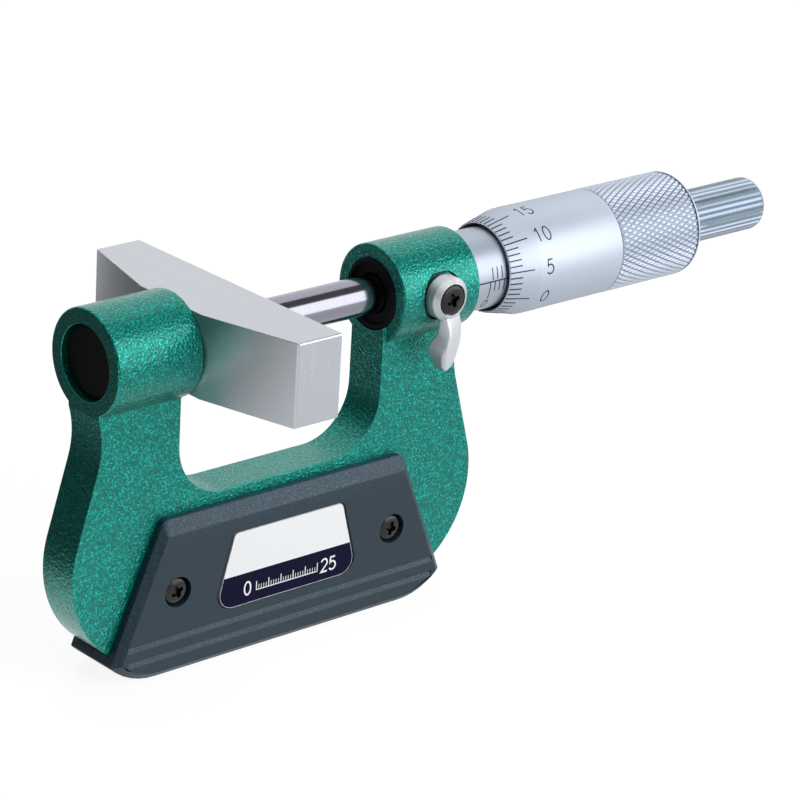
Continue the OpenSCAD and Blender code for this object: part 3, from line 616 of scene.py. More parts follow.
def knurl_tree():
    """A closed band of pyramids between two families of crossing grooves."""
    tree, given, out = node_group("Diamond knurl", "GeometryNodeTree", [
        ("Start", "NodeSocketFloat", 0.0), ("Length", "NodeSocketFloat", 0.017),
        ("Valley radius", "NodeSocketFloat", 0.0085), ("Core radius", "NodeSocketFloat", 0.008),
        ("Depth", "NodeSocketFloat", 0.0003), ("Flat", "NodeSocketFloat", 0.8),
        ("Diamonds", "NodeSocketInt", 56), ("Rows", "NodeSocketInt", 17), ("Steps", "NodeSocketInt", 8),
        ("Material", "NodeSocketMaterial", None)], [("Geometry", "NodeSocketGeometry")])
    # The band is a grid of small squares, with rows along the spindle and columns round it
    along = tree.math("MULTIPLY", given["Rows"], given["Steps"])
    around = tree.math("MULTIPLY", given["Diamonds"], given["Steps"])
    # Two rows more carry the band's inner wall, and the last row and column close on the first
    grid = tree.add("GeometryNodeMeshGrid", {"Vertices X": tree.math("ADD", along, 4.0),
                                             "Vertices Y": tree.math("ADD", around, 1.0)})
    index = tree.add("GeometryNodeInputIndex").outputs[0]
    per_row = tree.math("ADD", around, 1.0)
    row = tree.math("FLOOR", tree.math("DIVIDE", index, per_row))
    column = tree.math("MODULO", tree.math("MODULO", index, per_row), around)
    inner = tree.math("MULTIPLY", tree.math("GREATER_THAN", row, tree.math("ADD", along, 0.5)),
                      tree.math("LESS_THAN", row, tree.math("ADD", along, 2.5)))
    # Row along + 1 lies under the last row, along + 2 under the first, and along + 3 on the first
    near_last = tree.math("MINIMUM", row, along)
    wrapped = tree.math("MULTIPLY", near_last, tree.math("LESS_THAN", row, tree.math("ADD", along, 1.5)))
    u = tree.math("DIVIDE", column, given["Steps"])
    v = tree.math("DIVIDE", wrapped, given["Steps"])

    def ridge(t):
        part = tree.math("SUBTRACT", t, tree.math("FLOOR", t))
        return tree.math("ABSOLUTE", tree.math("MULTIPLY_ADD", part, 2.0, -1.0))
    height = tree.math("MINIMUM", ridge(tree.math("ADD", u, v)), ridge(tree.math("SUBTRACT", u, v)))
    height = tree.math("MINIMUM", height, given["Flat"])
    height = tree.math("DIVIDE", height, given["Flat"])
    # The ends fade into the plain metal's chamfer
    fade_steps = 1.5
    from_end = tree.math("MINIMUM", wrapped, tree.math("SUBTRACT", along, wrapped))
    fade = tree.math("MINIMUM", 1.0, tree.math("DIVIDE", from_end, fade_steps))
    height = tree.math("MULTIPLY", height, fade)
    outer_r = tree.math("MULTIPLY_ADD", height, given["Depth"], given["Valley radius"])
    r = tree.blend(inner, outer_r, given["Core radius"])
    x = tree.math("MULTIPLY_ADD", tree.math("DIVIDE", wrapped, along), given["Length"], given["Start"])
    turn = tree.math("MULTIPLY", tree.math("DIVIDE", column, around), 2 * pi)
    place = tree.vector(x, tree.math("MULTIPLY", r, tree.math("COSINE", turn)),
                        tree.math("MULTIPLY", r, tree.math("SINE", turn)))
    marked = tree.add("GeometryNodeStoreNamedAttribute", {
        "Geometry": grid.outputs[0], "Name": "knurl_height", "Value": height},
        data_type="FLOAT", domain="POINT")
    moved = tree.add("GeometryNodeSetPosition", {"Geometry": marked.outputs[0], "Position": place})
    closed = tree.add("GeometryNodeMergeByDistance", {"Geometry": moved.outputs[0], "Distance": 1e-7})
    return tree.finished(closed, given, out)


def graduation_tree():
    """A row of bars on a turned surface. Every fifth is long, and they run along or round the spindle."""
    tree, given, out = node_group("Graduations", "GeometryNodeTree", [
        ("Count", "NodeSocketInt", 50), ("Along", "NodeSocketFloat", 0.0), ("Around", "NodeSocketFloat", 0.0),
        ("Start along", "NodeSocketFloat", 0.0), ("Start turn", "NodeSocketFloat", 0.0),
        ("Short", "NodeSocketFloat", 0.002), ("Long", "NodeSocketFloat", 0.004),
        ("Every", "NodeSocketInt", 5), ("Width", "NodeSocketFloat", 0.00014),
        ("Lengthways", "NodeSocketFloat", 1.0),
        ("Radius", "NodeSocketFloat", 0.0075), ("Radius end", "NodeSocketFloat", 0.0089),
        ("Cone from", "NodeSocketFloat", 0.0), ("Cone length", "NodeSocketFloat", 1.0),
        ("Proud", "NodeSocketFloat", INK * MM), ("Depth", "NodeSocketFloat", 0.00008),
        ("Material", "NodeSocketMaterial", None)], [("Geometry", "NodeSocketGeometry")])
    points = tree.add("GeometryNodeMeshLine", {"Count": given["Count"]}, mode="OFFSET")
    index = tree.add("GeometryNodeInputIndex").outputs[0]
    foot_place = tree.vector(tree.math("MULTIPLY_ADD", index, given["Along"], given["Start along"]),
                             tree.math("MULTIPLY_ADD", index, given["Around"], given["Start turn"]), 0.0)
    spread = tree.add("GeometryNodeSetPosition", {"Geometry": points.outputs[0], "Position": foot_place})
    # A bar from 0 to 1 on its length, which a scale stretches
    bar = tree.add("GeometryNodeMeshCube", {"Size": (1, 1, 1), "Vertices X": 9, "Vertices Y": 2,
                                            "Vertices Z": 2})
    moved = tree.add("GeometryNodeTransform", {"Geometry": bar.outputs[0], "Translation": (0.5, 0, 0)})
    is_long = tree.math("LESS_THAN", tree.math("MODULO", index, given["Every"]), 0.5)
    size = tree.blend(is_long, given["Short"], given["Long"])
    placed = tree.add("GeometryNodeInstanceOnPoints", {
        "Points": spread.outputs[0], "Instance": moved.outputs[0],
        "Scale": tree.vector(size, given["Width"], 1.0)})
    # The bar's own place is kept, so that its length can be turned round the surface
    own = tree.add("GeometryNodeCaptureAttribute", {0: placed.outputs[0]}, domain="INSTANCE")
    own.capture_items.new("VECTOR", "Foot")
    tree.link(tree.add("GeometryNodeInputPosition").outputs[0], own.inputs[1])
    real = tree.add("GeometryNodeRealizeInstances", {0: own.outputs[0]})
    here = tree.parts(tree.add("GeometryNodeInputPosition").outputs[0])
    foot = tree.parts(own.outputs[1])
    reach = tree.math("SUBTRACT", here[0], foot[0])
    side = tree.math("SUBTRACT", here[1], foot[1])
    crossways = tree.math("SUBTRACT", 1.0, given["Lengthways"])
    x_part = tree.math("ADD", tree.math("MULTIPLY", reach, given["Lengthways"]),
                       tree.math("MULTIPLY", side, crossways))
    round_part = tree.math("ADD", tree.math("MULTIPLY", side, given["Lengthways"]),
                           tree.math("MULTIPLY", reach, crossways))
    x = tree.math("ADD", foot[0], x_part)
    share = tree.math("DIVIDE", tree.math("SUBTRACT", x, given["Cone from"]), given["Cone length"])
    growth = tree.math("SUBTRACT", given["Radius end"], given["Radius"])
    base = tree.math("MULTIPLY_ADD", share, growth, given["Radius"])
    above = tree.math("GREATER_THAN", here[2], 0.0)
    thick = tree.math("ADD", given["Proud"], given["Depth"])
    lift = tree.math("SUBTRACT", tree.math("MULTIPLY", above, thick), given["Depth"])
    r = tree.math("ADD", base, lift)
    turn = tree.math("ADD", foot[1], tree.math("DIVIDE", round_part, base))
    place = tree.vector(x, tree.math("MULTIPLY", tree.math("MULTIPLY", r, tree.math("COSINE", turn)), -1.0),
                        tree.math("MULTIPLY", r, tree.math("SINE", turn)))
    wrapped = tree.add("GeometryNodeSetPosition", {"Geometry": real.outputs[0], "Position": place})
    return tree.finished(wrapped, given, out)


def flutes_tree():
    """Presses grooves along X into the outside of a turned body."""
    tree, given, out = node_group("Flutes", "GeometryNodeTree", [
        ("Geometry", "NodeSocketGeometry", None), ("Count", "NodeSocketInt", 30),
        ("Depth", "NodeSocketFloat", 0.0003), ("Share", "NodeSocketFloat", 0.45),
        ("Start", "NodeSocketFloat", 0.0), ("End", "NodeSocketFloat", 0.1),
        ("Fade", "NodeSocketFloat", 0.0006), ("Radius", "NodeSocketFloat", 0.004),
        ("Material", "NodeSocketMaterial", None)], [("Geometry", "NodeSocketGeometry")])
    x, y, z = tree.parts(tree.add("GeometryNodeInputPosition").outputs[0])
    turn = tree.math("DIVIDE", tree.math("ARCTAN2", z, y), 2 * pi)
    # A whole number keeps the turn above 0, and the quarter puts the first groove in its place
    cell = tree.math("FRACT", tree.math("MULTIPLY_ADD", turn, given["Count"], 100.25))
    ridge = tree.math("ABSOLUTE", tree.math("MULTIPLY_ADD", cell, 2.0, -1.0))
    groove = tree.ramp(ridge, 0.0, given["Share"], 1.0, 0.0)
    r = tree.add("ShaderNodeVectorMath", {0: tree.vector(0.0, y, z)}, operation="LENGTH").outputs["Value"]
    rise = tree.ramp(tree.math("SUBTRACT", x, given["Start"]), 0.0, given["Fade"])
    fall = tree.ramp(tree.math("SUBTRACT", given["End"], x), 0.0, given["Fade"])
    outside = tree.math("GREATER_THAN", r, given["Radius"])
    depth = tree.math("MULTIPLY", tree.math("MULTIPLY", groove, given["Depth"]),
                      tree.math("MULTIPLY", outside, tree.math("MULTIPLY", rise, fall)))
    share = tree.math("DIVIDE", tree.math("SUBTRACT", r, depth), r)
    moved = tree.vector(x, tree.math("MULTIPLY", y, share), tree.math("MULTIPLY", z, share))
    pressed = tree.add("GeometryNodeSetPosition", {"Geometry": given["Geometry"], "Position": moved})
    return tree.finished(pressed, given, out)


def from_tree(name, tree, values):
    """A plain mesh made by a geometry node tree."""
    obj = add_object(name, bpy.data.meshes.new(name))
    set_inputs(obj, tree, values)
    plain_mesh(obj)
    shape = bmesh.new()
    shape.from_mesh(obj.data)
    bmesh.ops.recalc_face_normals(shape, faces=shape.faces)
    shape.to_mesh(obj.data)
    shape.free()
    return obj


# Shader node groups

def hammered_group():
    """The skin of hammered paint: a height for its dimples and masks for its flecks and clouds."""
    tree, given, out = node_group("Hammered skin", "ShaderNodeTree", [
        ("Grain", "NodeSocketFloat", 0.45)], [("Height", "NodeSocketFloat"), ("Fleck", "NodeSocketFloat"),
                                              ("Cloud", "NodeSocketFloat")])
    place = tree.surface()
    # Round dimples of one grain each, a finer wander that carries the flecks, and slow clouds
    scale = tree.math("DIVIDE", 1 / MM, given["Grain"])
    cells = tree.add("ShaderNodeTexVoronoi", {"Vector": place, "Scale": scale, "Randomness": 1.0},
                     feature="SMOOTH_F1")
    cells.inputs["Smoothness"].default_value = 0.6
    wander = tree.add("ShaderNodeTexNoise", {"Vector": place, "Scale": tree.math("MULTIPLY", scale, 1.6),
                                             "Detail": 2.0})
    mixed = tree.math("MULTIPLY_ADD", wander.outputs[0], 0.5, cells.outputs["Distance"])
    tree.link(mixed, out["Height"])
    tree.link(tree.ramp(wander.outputs[0], 0.5, 0.68), out["Fleck"])
    cloud = tree.add("ShaderNodeTexNoise", {"Vector": place, "Scale": tree.math("MULTIPLY", scale, 0.35),
                                            "Detail": 3.0})
    tree.link(cloud.outputs[0], out["Cloud"])
    return tree.tree


def brushed_group():
    """Fine parallel lines of grinding or turning, as a height and as a mask."""
    tree, given, out = node_group("Ground lines", "ShaderNodeTree", [
        ("Spacing", "NodeSocketVector", (0.05, 1.0, 1.0)), ("Spread", "NodeSocketFloat", 1.0)],
        [("Height", "NodeSocketFloat"), ("Mask", "NodeSocketFloat")])
    spaced = tree.add("ShaderNodeVectorMath", {0: tree.surface(), 1: given["Spacing"]},
                      operation="DIVIDE").outputs[0]
    scaled = tree.add("ShaderNodeVectorMath", {0: spaced, 1: (1 / MM,) * 3}, operation="MULTIPLY").outputs[0]
    lines = tree.add("ShaderNodeTexNoise", {"Vector": scaled, "Scale": 1.0, "Detail": 3.0, "Roughness": 0.6})
    tree.link(lines.outputs[0], out["Height"])
    tree.link(tree.ramp(lines.outputs[0], 0.5, given["Spread"]), out["Mask"])
    return tree.tree


def grain_group():
    """The fine sparkle of a blasted or moulded surface."""
    tree, given, out = node_group("Fine grain", "ShaderNodeTree", [
        ("Size", "NodeSocketFloat", 0.12)], [("Height", "NodeSocketFloat"), ("Mask", "NodeSocketFloat")])
    scale = tree.math("DIVIDE", 1 / MM, given["Size"])
    noise = tree.add("ShaderNodeTexNoise", {"Vector": tree.surface(), "Scale": scale, "Detail": 2.0,
                                            "Roughness": 0.7})
    tree.link(noise.outputs[0], out["Height"])
    tree.link(tree.ramp(noise.outputs[0], 0.35, 0.65), out["Mask"])
    return tree.tree


def edge_group():
    """A mask for a painted highlight on rounded edges."""
    tree, given, out = node_group("Painted edge highlight", "ShaderNodeTree", [
        ("Width", "NodeSocketFloat", 0.3), ("Sharpness", "NodeSocketFloat", 0.9)],
        [("Mask", "NodeSocketFloat")])
    rounded = tree.add("ShaderNodeBevel", {"Radius": tree.math("MULTIPLY", given["Width"], MM)}, samples=6)
    plain = tree.add("ShaderNodeNewGeometry").outputs["Normal"]
    same = tree.add("ShaderNodeVectorMath", {0: rounded.outputs[0], 1: plain}, operation="DOT_PRODUCT")
    tree.link(tree.ramp(same.outputs["Value"], 0.99, given["Sharpness"]), out["Mask"])
    return tree.tree


# Materials

class Material:
    """A material with one Principled shader, and the node groups that feed it."""

    def __init__(self, name, colour, roughness, metallic=0.0, coat=0.0):
        self.material = bpy.data.materials.new(name)
        self.material.use_nodes = True
        self.material.diffuse_color = colour
        self.tree = Tree(self.material.node_tree)
        self.shader = self.material.node_tree.nodes["Principled BSDF"]
        self.shader.inputs["Base Color"].default_value = colour
        self.shader.inputs["Roughness"].default_value = roughness
        self.shader.inputs["Metallic"].default_value = metallic
        self.shader.inputs["Coat Weight"].default_value = coat

    def group(self, name, **inputs):
        """Places a shared node group with this material's own values."""
        node = self.tree.add("ShaderNodeGroup", node_tree=bpy.data.node_groups[name])
        for key, value in inputs.items():
            node.inputs[key].default_value = value
        return node.outputs

    def feed(self, socket, value):
        self.tree.link(value, self.shader.inputs[socket])

    def bump(self, height, depth, strength=1.0):
        """Raises the surface by a height from 0 to 1 that stands for a depth in millimetres."""
        node = self.tree.add("ShaderNodeBump", {"Height": height, "Strength": strength,
                                                "Distance": depth * MM})
        self.feed("Normal", node.outputs[0])

    def roughen(self, mask, low, high):
        """Lets the roughness go from low to high with a mask."""
        self.feed("Roughness", self.tree.ramp(mask, 0.0, 1.0, low, high))


def tint(colour, factor):
    """A colour made brighter or darker by a factor."""
    return (*[min(1.0, c * factor) for c in colour[:3]], 1.0)


def hammered_paint():
    paint = Material("Green hammered paint", look().paint, 0.26, metallic=0.64, coat=0.2)
    skin = paint.group("Hammered skin", Grain=0.46)
    edge = paint.group("Painted edge highlight", Width=0.5, Sharpness=0.75)
    tree = paint.tree
    cloud = tree.mix(skin["Cloud"], tint(look().paint, 0.68), tint(look().paint, 1.25))
    fleck = tree.mix(tree.math("MULTIPLY", skin["Fleck"], 0.72), cloud, look().paint_fleck)
    # Painted highlight: the rounded edges take a lighter fleck colour
    edge_lit_paint = tree.mix(tree.math("MULTIPLY", edge["Mask"], 0.45), fleck, tint(look().paint_fleck, 1.15))
    paint.feed("Base Color", edge_lit_paint)
    paint.roughen(skin["Fleck"], 0.3, 0.2)
    paint.bump(skin["Height"], 0.11, 0.95)
    return paint.material


def ground_steel():
    steel = Material("Ground steel", look().steel, 0.3, metallic=0.72)
    lines = steel.group("Ground lines", Spacing=(1.2, 30.0, 9.0), Spread=0.75)
    edge = steel.group("Painted edge highlight", Width=0.3, Sharpness=0.85)
    brushed = steel.tree.mix(lines["Mask"], tint(look().steel, 0.98), tint(look().steel, 1.02))
    # Painted highlight: the rounded edges are painted much lighter than the steel
    steel.feed("Base Color", steel.tree.mix(edge["Mask"], brushed, tint(look().steel, 1.45)))
    steel.roughen(lines["Mask"], 0.26, 0.29)
    return steel.material


def polished_steel():
    steel = Material("Ground and polished spindle", look().spindle, 0.16, metallic=1.0)
    lines = steel.group("Ground lines", Spacing=(0.05, 3.0, 3.0), Spread=0.72)
    steel.feed("Base Color", steel.tree.mix(lines["Mask"], tint(look().spindle, 0.85), look().spindle))
    steel.roughen(lines["Mask"], 0.12, 0.24)
    return steel.material


def carbide():
    hard = Material("Hard metal tip", look().carbide, 0.22, metallic=1.0)
    grain = hard.group("Fine grain", Size=0.06)
    hard.roughen(grain["Mask"], 0.18, 0.3)
    return hard.material


def satin_chrome(name, colour, roughness, turned=True, metallic=0.85):
    satin = Material(name, colour, roughness, metallic=metallic)
    grain = satin.group("Fine grain", Size=0.1)
    satin.feed("Base Color", satin.tree.mix(grain["Mask"], tint(colour, 0.95), tint(colour, 1.05)))
    satin.roughen(grain["Mask"], roughness - 0.05, roughness + 0.06)
    if turned:
        lines = satin.group("Ground lines", Spacing=(0.06, 9.0, 9.0), Spread=0.7)
        satin.bump(lines["Height"], 0.003, 0.5)
    return satin.material


def knurled_chrome():
    knurled = satin_chrome("Knurled chrome", look().chrome, 0.3, turned=False, metallic=0.5)
    tree = Tree(knurled.node_tree)
    shader = knurled.node_tree.nodes["Principled BSDF"]
    height = tree.add("ShaderNodeAttribute", attribute_name="knurl_height").outputs["Fac"]
    # Painted shade in the grooves and a painted highlight on the diamonds' tops, by the height of each point
    shaded = tree.mix(tree.ramp(height, 0.05, 0.6), look().knurl_valley, tint(look().chrome, 1.1))
    tree.link(shaded, shader.inputs["Base Color"])
    return knurled


def moulded_plastic():
    plastic = Material("Moulded cover", look().cover, 0.5)
    grain = plastic.group("Fine grain", Size=0.22)
    edge = plastic.group("Painted edge highlight", Width=0.35, Sharpness=0.75)
    sparks = plastic.group("Fine grain", Size=0.24)
    tree = plastic.tree
    speckled = tree.mix(grain["Mask"], tint(look().cover, 0.9), tint(look().cover, 1.12))
    # Painted highlight: the rounded edges are painted lighter
    lit = tree.mix(tree.math("MULTIPLY", edge["Mask"], 0.35), speckled, tint(look().cover, 2.2))
    # Painted glints: the mould's speckle is painted much lighter where the shell leans than on its flat
    # sides, and towards its upper edge
    facing = tree.parts(tree.surface("Normal"))[1]
    leaning = tree.ramp(tree.math("ABSOLUTE", facing), 0.99, 0.93)
    height = tree.parts(tree.surface())[2]
    top = span("front_cover", 2)[1] * MM
    upper = tree.ramp(height, top - 5.5 * MM, top - 1.5 * MM, 0.0, 0.5)
    bright = tree.math("MULTIPLY", tree.math("POWER", sparks["Mask"], 2.5),
                       tree.math("MAXIMUM", leaning, upper))
    plastic.feed("Base Color", tree.mix(bright, lit, tint(look().cover, 4.5)))
    plastic.roughen(grain["Mask"], 0.42, 0.6)
    plastic.bump(grain["Height"], 0.04, 0.5)
    return plastic.material


def black_finish(name, roughness, specular=0.15, lift=1.0):
    """A black surface, which lift makes lighter."""
    dark = Material(name, tint(look().black, lift), roughness)
    dark.shader.inputs["Specular IOR Level"].default_value = specular
    grain = dark.group("Fine grain", Size=0.15)
    dark.roughen(grain["Mask"], roughness - 0.06, roughness + 0.08)
    return dark.material


def flat_ink(name, colour, roughness=0.5, specular=0.3):
    ink = Material(name, colour, roughness)
    ink.shader.inputs["Specular IOR Level"].default_value = specular
    return ink.material


def turned_metal(name, colour, roughness):
    metal = Material(name, colour, roughness, metallic=1.0)
    grain = metal.group("Fine grain", Size=0.1)
    metal.roughen(grain["Mask"], roughness - 0.05, roughness + 0.08)
    return metal.material


FINISHES = {
    "paint": hammered_paint,
    "steel": ground_steel,
    "spindle": polished_steel,
    "carbide": carbide,
    "chrome": lambda: satin_chrome("Satin chrome", look().chrome, 0.46, metallic=0.5),
    # The sleeve's chrome is the thimble's chrome made darker, as painted shade
    "sleeve": lambda: satin_chrome("Satin sleeve", tint(look().chrome, 0.82), 0.4, metallic=0.55),
    "knurl": knurled_chrome,
    "knob": lambda: satin_chrome("Fluted chrome", look().knob, 0.3, turned=False),
    "lever": lambda: satin_chrome("Cast lever", look().lever, 0.36, turned=False, metallic=0.45),
    "cover": moulded_plastic,
    "plug": lambda: black_finish("Black plug", 0.55, lift=3.0),
    "ring": lambda: black_finish("Black ring", 0.5, specular=0.1, lift=2.5),
    "screw": lambda: black_finish("Blackened screw", 0.2, specular=0.5),
    "brass": lambda: turned_metal("Brass pad", look().brass, 0.35),
    "plain": lambda: turned_metal("Turned steel", look().turned, 0.35),
    "ink": lambda: flat_ink("Scale ink", look().ink),
    "field": lambda: flat_ink("Label field", look().field, 0.6, specular=0.1),
    "white": lambda: flat_ink("Label white", look().white, 0.4),
}


made_finishes = {}


def finish(name):
    """A finish by name, made once."""
    if name not in made_finishes:
        made_finishes[name] = FINISHES[name]()
    return made_finishes[name]


# Operators

class MICROMETER_OT_finishes(bpy.types.Operator):
    """Makes the shared shader groups and the finishes that use them"""

    bl_idname = "micrometer.finishes"
    bl_label = "Finishes"

    def execute(self, context):
        hammered_group()
        brushed_group()
        grain_group()
        edge_group()
        for name in FINISHES:
            finish(name)
        return {"FINISHED"}


class MICROMETER_OT_inner_pieces(bpy.types.Operator):
    """Gives the pieces inside the micrometer their metal"""

    bl_idname = "micrometer.inner_pieces"
    bl_label = "Inner pieces"

    def execute(self, context):
        metals = {"anvil_screw": "plain", "inner_sleeve": "plain", "taper_nut": "plain", "lock_pad": "brass",
                  "lock_washer": "plain", "lock_stud": "plain", "ratchet_post": "plain",
                  "ratchet_clutch": "plain", "ratchet_spring": "plain", "ratchet_screw": "plain"}
        for node, name in metals.items():
            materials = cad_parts[node].data.materials
            materials.clear()
            materials.append(finish(name))
        return {"FINISHED"}


class MICROMETER_OT_frame(bpy.types.Operator):
    """Paints the frame and fits its plug and the ring round the spindle"""

    bl_idname = "micrometer.frame"
    bl_label = "Frame"

    def execute(self, context):
        body = finished_copy("frame", "frame_paint", finish("paint"), bevel=0.14, merge=CLOSE)
        true_round(body, [SPINDLE_BOSS_R, ANVIL_BOSS_R])
        self.blacken_pocket(body)
        place_piece(body, "frame", ["frame"])
        plug = finished_copy("anvil_plug", "plug_disc", finish("plug"), bevel=0.15)
        place_piece(plug, "frame", ["anvil_plug"])
        ring = finished_copy("spindle_ring", "ring_seal", finish("ring"))
        place_piece(ring, "frame", ["spindle_ring"])
        return {"FINISHED"}

    def blacken_pocket(self, body):
        """Paints the pocket round the lever's hub black, as painted shade in the gap round the hub."""
        x0, x1 = span("lock_lever", 0)
        hub_r = (x1 - x0) / 2
        axis = Vector(((x0 + x1) / 2, 0, span("lock_lever", 2)[1] - hub_r))
        # A little past the pocket's wall and mouth, and below its floor, but not the boss's round face
        wall, mouth, floor, round_face = hub_r + POCKET_SLACK + 0.12, -SPINDLE_BOSS_R - 0.05, -6.5, 0.97
        # Painted shade: the pocket's faces take the black of the plug
        body.data.materials.append(finish("plug"))
        for polygon in body.data.polygons:
            out = polygon.center / MM - axis
            outward = Vector((0, polygon.center.y, polygon.center.z)).normalized()
            near = Vector((out.x, 0, out.z)).length < wall and mouth < out.y < floor
            if near and polygon.normal.dot(outward) < round_face:
                polygon.material_index = 1


class MICROMETER_OT_anvil(bpy.types.Operator):
    """Grinds the broad anvil"""

    bl_idname = "micrometer.anvil"
    bl_label = "Anvil"

    def execute(self, context):
        block = finished_copy("anvil", "anvil_block", finish("steel"), bevel=0.15, angle=25)
        place_piece(block, "frame", ["anvil"])
        return {"FINISHED"}


class MICROMETER_OT_covers(bpy.types.Operator):
    """Moulds the two covers and sets their screws"""

    bl_idname = "micrometer.covers"
    bl_label = "Covers"

    def execute(self, context):
        for side in ("front", "rear"):
            cover = finished_copy(side + "_cover", side + "_cover_shell", finish("cover"), bevel=0.12,
                                  angle=20)
            place_piece(cover, "frame", [side + "_cover"])
            screws = self.heads(side + "_cover_screws", side + "_screw_heads", 1 if side == "front" else -1)
            place_piece(screws, "frame", [side + "_cover_screws"])
        return {"FINISHED"}

    def heads(self, node, name, side):
        """The two screws of a cover, each with its own turn."""
        (x0, x1), (y0, y1), (z0, z1) = [span(node, axis) for axis in range(3)]
        head_r = (z1 - z0) / 2
        proud, head, rim, shank_r, shank = 0.1, 1.35, 0.75, 1.25, 4.1
        top = max(abs(y0), abs(y1)) + proud
        back = top - head
        both = [cross_screw(name + str(i), x, (z0 + z1) / 2, back, back + rim, top, head_r,
                            (shank_r, back - shank), side, turn)
                for i, (x, turn) in enumerate(((x0 + head_r, 25), (x1 - head_r, -15)))]
        return join_all(name, both)


class MICROMETER_OT_label(bpy.types.Operator):
    """Prints the label's two fields and a plain rule"""

    bl_idname = "micrometer.label"
    bl_label = "Label"

    def execute(self, context):
        (x0, x1), (y0, y1), (z0, z1) = [span("label_plate", axis) for axis in range(3)]
        lean = radians(15.5)
        middle = (x0 + x1) / 2
        top_r, low_r, sharp_r = 0.9, 2.6, 0.05
        # The plate's lower corners reach past its box by what their rounding takes off
        half_low = (x1 - x0) / 2 + 0.45
        split = z1 - 7.3
        border = 0.06
        # Each print lies this much before the one under it
        step, flatten = 0.01, 0.6

        def half_at(z, inset):
            return half_low - (z - z0) * tan(lean) - inset / cos(lean)

        def field(low, high, low_radius, high_radius, inset):
            low_half, high_half = half_at(low, inset), half_at(high, inset)
            return rounded_outline([
                (middle - low_half, low, low_radius), (middle + low_half, low, low_radius),
                (middle + high_half, high, high_radius), (middle - high_half, high, high_radius)])
        front = y0
        plate = slab("plate", field(z0, z1, low_r, top_r, 0), front + 2 * step, y1, finish("white"))
        lower = slab("lower", field(z0 + border, split, low_r - border, sharp_r, border), front + step,
                     y1 - 0.1, finish("field"))

        def flat(x, y, h):
            return Vector((x, front + step - h * flatten, y)) * MM
        marks = bmesh.new()
        self.draw_rule(marks, middle, split - 3.45, flat)
        lines = mesh_of("lines", marks, finish("white"))
        label = join_all("label_print", [plate, lower, lines])
        place_piece(label, "frame", ["label_plate"])
        return {"FINISHED"}

    def draw_rule(self, marks, middle, base, wrap):
        """Draws the rule from 0 to 25 in the label's lower field, with its two numbers."""
        rule, divisions, depth = 12.5, 25, 0.05
        line, fine_line = 0.17, 0.11
        tall, short = 1.5, 0.85
        start, end = middle - rule / 2, middle + rule / 2
        stroke(marks, [(start - line / 2, base), (end + line / 2, base)], line, INK, -depth, wrap)
        for i in range(divisions + 1):
            x = start + i * rule / divisions
            is_long = i % 5 == 0
            stroke(marks, [(x, base), (x, base + (tall if is_long else short))],
                   line if is_long else fine_line, INK, -depth, wrap)
        height, thick, level = 2.2, 0.3, base + 0.7
        number(marks, "0", (start - 1.8, level), height, thick, wrap, depth)
        number(marks, str(divisions), (end + 2.3, level), height, thick, wrap, depth)


class MICROMETER_OT_spindle(bpy.types.Operator):
    """Polishes the spindle and its hard metal tip"""

    bl_idname = "micrometer.spindle"
    bl_label = "Spindle"

    def execute(self, context):
        rod = finished_copy("spindle", "spindle_rod", finish("spindle"))
        place_piece(rod, "spindle", ["spindle"])
        tip = finished_copy("spindle_tip", "carbide_tip", finish("carbide"))
        place_piece(tip, "spindle_tip", ["spindle_tip"])
        return {"FINISHED"}


class MICROMETER_OT_sleeve(bpy.types.Operator):
    """Turns the sleeve and rolls its scale round it"""

    bl_idname = "micrometer.sleeve"
    bl_label = "Sleeve"

    def execute(self, context):
        sizes = context.scene.micrometer_scale
        tube = finished_copy("outer_sleeve", "sleeve_tube", finish("sleeve"), angle=25)
        place_piece(tube, "sleeve", ["outer_sleeve"])
        tree = bpy.data.node_groups.get("Graduations") or graduation_tree()
        zero = SLEEVE_X * MM + sizes.zero_in
        shared = {"Lengthways": 0.0, "Radius": SLEEVE_R * MM, "Radius end": SLEEVE_R * MM, "Every": 5,
                  "Width": sizes.sleeve_line, "Along": 1.0 * MM, "Material": finish("ink")}
        # The half millimetre lines stand a little off the index line
        half_off = 0.25
        below = from_tree("below", tree, {
            **shared, "Count": sizes.travel + 1, "Start along": zero, "Start turn": sizes.index_turn,
            "Short": -sizes.sleeve_short, "Long": -sizes.sleeve_long})
        above = from_tree("above", tree, {
            **shared, "Count": sizes.travel, "Start along": zero + 0.5 * MM,
            "Start turn": sizes.index_turn + half_off / SLEEVE_R,
            "Short": sizes.half_length, "Long": sizes.half_length})
        wrap = turned_place(SLEEVE_R, sizes.index_turn)
        shape = bmesh.new()
        index_line = sizes.sleeve_line / MM * 1.2
        stroke(shape, [(SLEEVE_X + 0.02, 0), (SLEEVE_END - 0.4, 0)], index_line, INK, -0.06, wrap)
        digit_level, digit_line = -4.35, 0.18
        for millimetre in range(0, sizes.travel + 1, 5):
            at = (zero / MM + millimetre, digit_level)
            number(shape, str(millimetre), at, sizes.sleeve_digit / MM, digit_line, wrap)
        drawn = mesh_of("drawn", shape, finish("ink"))
        scale = join_all("sleeve_scale", [below, above, drawn])
        place_piece(scale, "sleeve")
        return {"FINISHED"}


